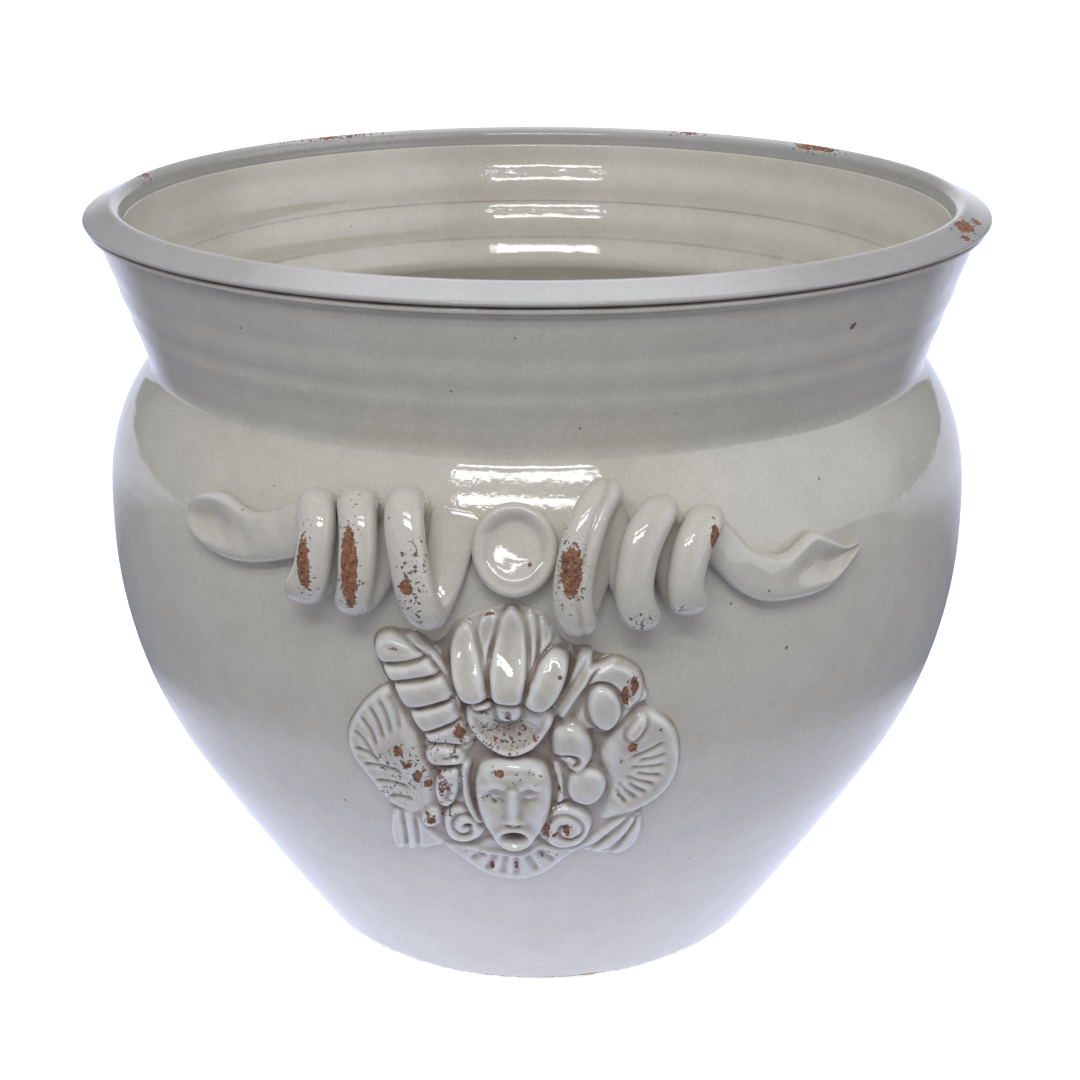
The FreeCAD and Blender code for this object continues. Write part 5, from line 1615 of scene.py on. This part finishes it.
@dataclass
class Studio:
    """White floor with a lit table top under the pot, a divided soft box high in front, and the camera."""

    camera_distance: float = 874.4
    camera_height: float = 493.7
    camera_azimuth: float = 2.9
    camera_pitch: float = 20.169
    camera_yaw: float = -0.09
    lens: float = 65.05
    floor_rings: tuple[float, ...] = (200.0, 500.0, 1500.0, 6000.0)
    floor_corners: int = 96
    floor_glow: float = 0.62
    floor_light: float = 0.3
    table_radius: float = 260.0
    table_light: float = 1.3
    table_colour: Colour = (0.75, 0.79, 1.0)
    back_light: float = 1.2
    back_span: Place = (150.0, 800.0)
    scatter_levels: Place = (0.46, 0.6)
    mirror_level: float = 0.22
    mirror_glows: tuple[Glow, ...] = (
        Glow((-0.04, 0.42, 0.9), 0.985, 0.86, 2.8), Glow((0.9, -0.27, 0.34), 0.97, 0.7, 1.6),
        Glow((-0.3, -0.65, 0.7), 0.97, 0.7, 0.4), Glow((0.0, 1.0, -0.1), 1.0, 0.85, 0.9))
    pot_middle: Point = (0.0, 0.0, 0.25)
    boxes: tuple[SoftBox, ...] = (
        SoftBox("soft_box_low", (-0.02, -1.755, 1.655), (1.25, 0.21), 12.5),
        SoftBox("soft_box_high", (-0.02, -1.5, 1.9), (1.25, 0.1), 6.5),
        SoftBox("top_light", (0.0, 0.3, 2.6), (2.2, 1.8), 9.5, (0.95, 0.96, 1.0), False))

    def floor(self) -> None:
        """Wide pale disc under the pot: rings of points (r cos a, r sin a, 0) round one flat middle face."""
        radius = np.asarray(self.floor_rings)[:, None]
        angle = np.linspace(0.0, TURN, self.floor_corners, endpoint=False)[None, :]
        points = np.stack([radius * np.cos(angle), radius * np.sin(angle), 0.0 * radius * angle], axis=-1)
        faces = grid_faces(len(self.floor_rings), self.floor_corners, False, True).tolist()
        mesh = bpy.data.meshes.new("studio_floor")
        mesh.from_pydata((points.reshape(-1, 3) * MM).tolist(), [], [*faces, list(range(self.floor_corners))])
        mesh.update()
        mesh.materials.append(self.floor_paint())
        ground = bpy.data.objects.new("studio_floor", mesh)
        bpy.context.scene.collection.objects.link(ground)

    def floor_paint(self) -> bpy.types.Material:
        """Finish of the floor: pale to the camera; to the pot it is a lit table with a bright rear.

        Returns:
            The material.
        """
        pale = bpy.data.materials.new("studio_floor_paint")
        pale.use_nodes = True
        sheet = NodeSheet(pale.node_tree)
        place = sheet.add("ShaderNodeTexCoord").outputs["Object"]
        reach = sheet.add("ShaderNodeVectorMath", {0: place}, operation="LENGTH").outputs["Value"]
        paint = sheet.add("ShaderNodeBsdfPrincipled", {
            "Base Color": (0.9, 0.91, 0.93, 1.0), "Roughness": 0.9, "Specular IOR Level": 0.1,
            "Emission Color": (0.97, 0.98, 1.0, 1.0), "Emission Strength": self.floor_glow})
        edge = self.table_radius * MM
        table = sheet.remap(reach, edge, 1.35 * edge, self.table_light, self.floor_light)
        rear = sheet.add("ShaderNodeSeparateXYZ", {0: place}).outputs["Y"]
        near, far = (MM * y for y in self.back_span)
        table = sheet.math("MAXIMUM", table, sheet.remap(rear, near, far, 0.0, self.back_light))
        cast = sheet.add("ShaderNodeEmission", {"Color": (*self.table_colour, 1.0), "Strength": table})
        seen = sheet.add("ShaderNodeLightPath").outputs["Is Camera Ray"]
        both = sheet.add("ShaderNodeMixShader", {0: seen, 1: cast.outputs[0], 2: paint.outputs[0]})
        sheet.add("ShaderNodeOutputMaterial", {"Surface": both.outputs[0]})
        return pale

    def lights(self) -> None:
        """Hangs the soft boxes and sets a surround whose mirrored glows are apart from its scattered light."""
        for box in self.boxes:
            box.hang(self.pot_middle)
        world = bpy.data.worlds.new("white_surround")
        bpy.context.scene.world = world
        world.use_nodes = True
        sheet = NodeSheet(world.node_tree)
        way = sheet.add("ShaderNodeTexCoord").outputs["Generated"]
        ray = sheet.add("ShaderNodeLightPath").outputs
        mirrored = self.mirror_level
        for glow in self.mirror_glows:
            facing = sheet.add("ShaderNodeVectorMath", {0: way, 1: glow.aim}, operation="DOT_PRODUCT")
            lit = sheet.remap(facing.outputs["Value"], glow.far, glow.near, 0.0, glow.level)
            mirrored = sheet.math("ADD", lit, mirrored)
        depth = sheet.add("ShaderNodeSeparateXYZ", {0: way}).outputs["Y"]
        scattered = sheet.remap(depth, -0.8, 0.4, *self.scatter_levels)
        level = sheet.mix(ray["Is Glossy Ray"], scattered, mirrored)
        level = sheet.mix(ray["Is Camera Ray"], level, (1.0, 1.0, 1.0, 1.0))
        colour = sheet.mix(ray["Is Glossy Ray"], (0.96, 0.965, 1.0, 1.0), (0.90, 0.92, 1.0, 1.0))
        glow = sheet.add("ShaderNodeBackground", {"Color": colour, "Strength": level})
        sheet.add("ShaderNodeOutputWorld", {"Surface": glow.outputs[0]})

    def camera(self) -> None:
        """Sets the camera at the photograph's angle, looking down on the pot's front."""
        lens = bpy.data.cameras.new("photo_camera")
        lens.lens, lens.sensor_width = self.lens, 36.0
        thing = bpy.data.objects.new("photo_camera", lens)
        turn, away = math.radians(self.camera_azimuth), self.camera_distance * MM
        thing.location = (away * math.sin(turn), -away * math.cos(turn), self.camera_height * MM)
        tilt, yaw = math.radians(90.0 - self.camera_pitch), math.radians(self.camera_azimuth + self.camera_yaw)
        thing.rotation_euler = (tilt, 0.0, yaw)
        bpy.context.scene.collection.objects.link(thing)
        bpy.context.scene.camera = thing
        bpy.context.scene.view_settings.view_transform = "Standard"


def ribbon() -> list[Rope | Leaf]:
    """The two wound ropes and their leaf ends, with the flakes that each has."""
    left = Rope(
        "left_rope",
        [
            (-18.0, 261.0), (-28.3, 220.0), (-36.5, 255.5), (-55.5, 222.5), (-54.5, 254.0), (-75.0, 223.5),
            (-70.5, 252.0), (-90.0, 233.0)], [-1.2, 3.2, 5.0], 0.26 * math.pi, 6.34 * math.pi,
        [
            Chip(-69.4, 239.5, 3.0, 11.5, 0.85), Chip(-52.8, 240.0, 3.4, 16.5, 0.95, 0.25),
            Chip(-33.1, 235.0, 2.4, 3.4, 0.95), Chip(-31.0, 235.0, 3.6, 11.0, 0.25, 0.48)], True)
    right = Rope(
        "right_rope",
        [
            (37.0, 257.0), (24.5, 219.0), (33.0, 258.5), (46.9, 220.0), (52.7, 252.8), (63.3, 223.5), (69.4, 249.0),
            (86.0, 228.0)], [-5.8, -6.8, -5.3], 0.2 * math.pi, 6.34 * math.pi,
        [
            Chip(20.7, 242.7, 4.0, 10.5, 0.8), Chip(45.0, 220.5, 3.0, 4.2, 0.3, 0.5),
            Chip(68.9, 250.5, 2.0, 4.8, 0.9), Chip(58.3, 225.2, 1.8, 1.8, 0.4, 0.4)], False, groove=1.5)
    left_leaf = Leaf(
        "left_leaf",
        [
            (-70.0, 236.5), (-78.0, 234.2), (-86.0, 231.5), (-96.0, 228.5), (-107.0, 226.1), (-118.6, 225.3),
            (-131.2, 226.8), (-139.0, 230.6), (-143.0, 236.0)],
        [
            (-70.0, 254.0), (-78.0, 253.7), (-86.0, 251.0), (-93.0, 247.5), (-102.4, 245.2), (-110.0, 245.8),
            (-120.0, 248.4), (-132.0, 247.0), (-140.0, 243.0), (-143.2, 238.0)], (6.4, 4.6, 3.2), 3.4, 0.74, 1.5,
        [Chip(-109.0, 245.0, 0.9, 0.9, 0.9)])
    right_leaf = Leaf(
        "right_leaf",
        [
            (62.0, 240.0), (70.0, 238.0), (76.0, 232.5), (85.0, 223.5), (96.7, 216.8), (110.4, 214.7),
            (122.6, 214.4), (132.0, 216.7), (140.0, 222.8), (149.0, 228.7)],
        [
            (66.0, 252.5), (74.0, 251.5), (81.4, 247.0), (90.3, 238.5), (100.4, 233.8), (108.8, 233.5),
            (119.8, 238.7), (128.0, 235.3), (138.0, 230.1), (149.2, 229.3)], (6.6, 5.0, 2.2), 3.2, 0.78, 1.5)
    return [left, right, left_leaf, right_leaf]


def main() -> None:
    """Builds the finishes, the pot, its ornaments and the studio."""
    logging.basicConfig(level=logging.INFO)
    groups = {maker.__name__: maker() for maker in (cloudy_glaze, flaked_glaze, pin_holes)}
    body = Glaze("body_glaze_white", (0.675, 0.645, 0.57), (0.535, 0.51, 0.44)).material(groups)
    # The rim's glaze is the same glaze painted darker: painted shade for its upward faces that catch the lamps.
    rim = Glaze("rim_glaze_painted_shade", (0.46, 0.452, 0.44), (0.375, 0.368, 0.36)).material(groups)
    relief = Glaze("relief_glaze_white", (0.67, 0.64, 0.57), (0.54, 0.51, 0.445), hole_share=0.3).material(groups)
    vessel = Vessel()
    vessel.build_bowl(body)
    vessel.build_collar(body)
    vessel.build_rim(rim)
    for piece in ribbon():
        piece.build(relief)
    Boss().build(relief)
    Medallion().build(relief)
    studio = Studio()
    studio.floor()
    studio.lights()
    studio.camera()


if __name__ == "__main__":
    main()
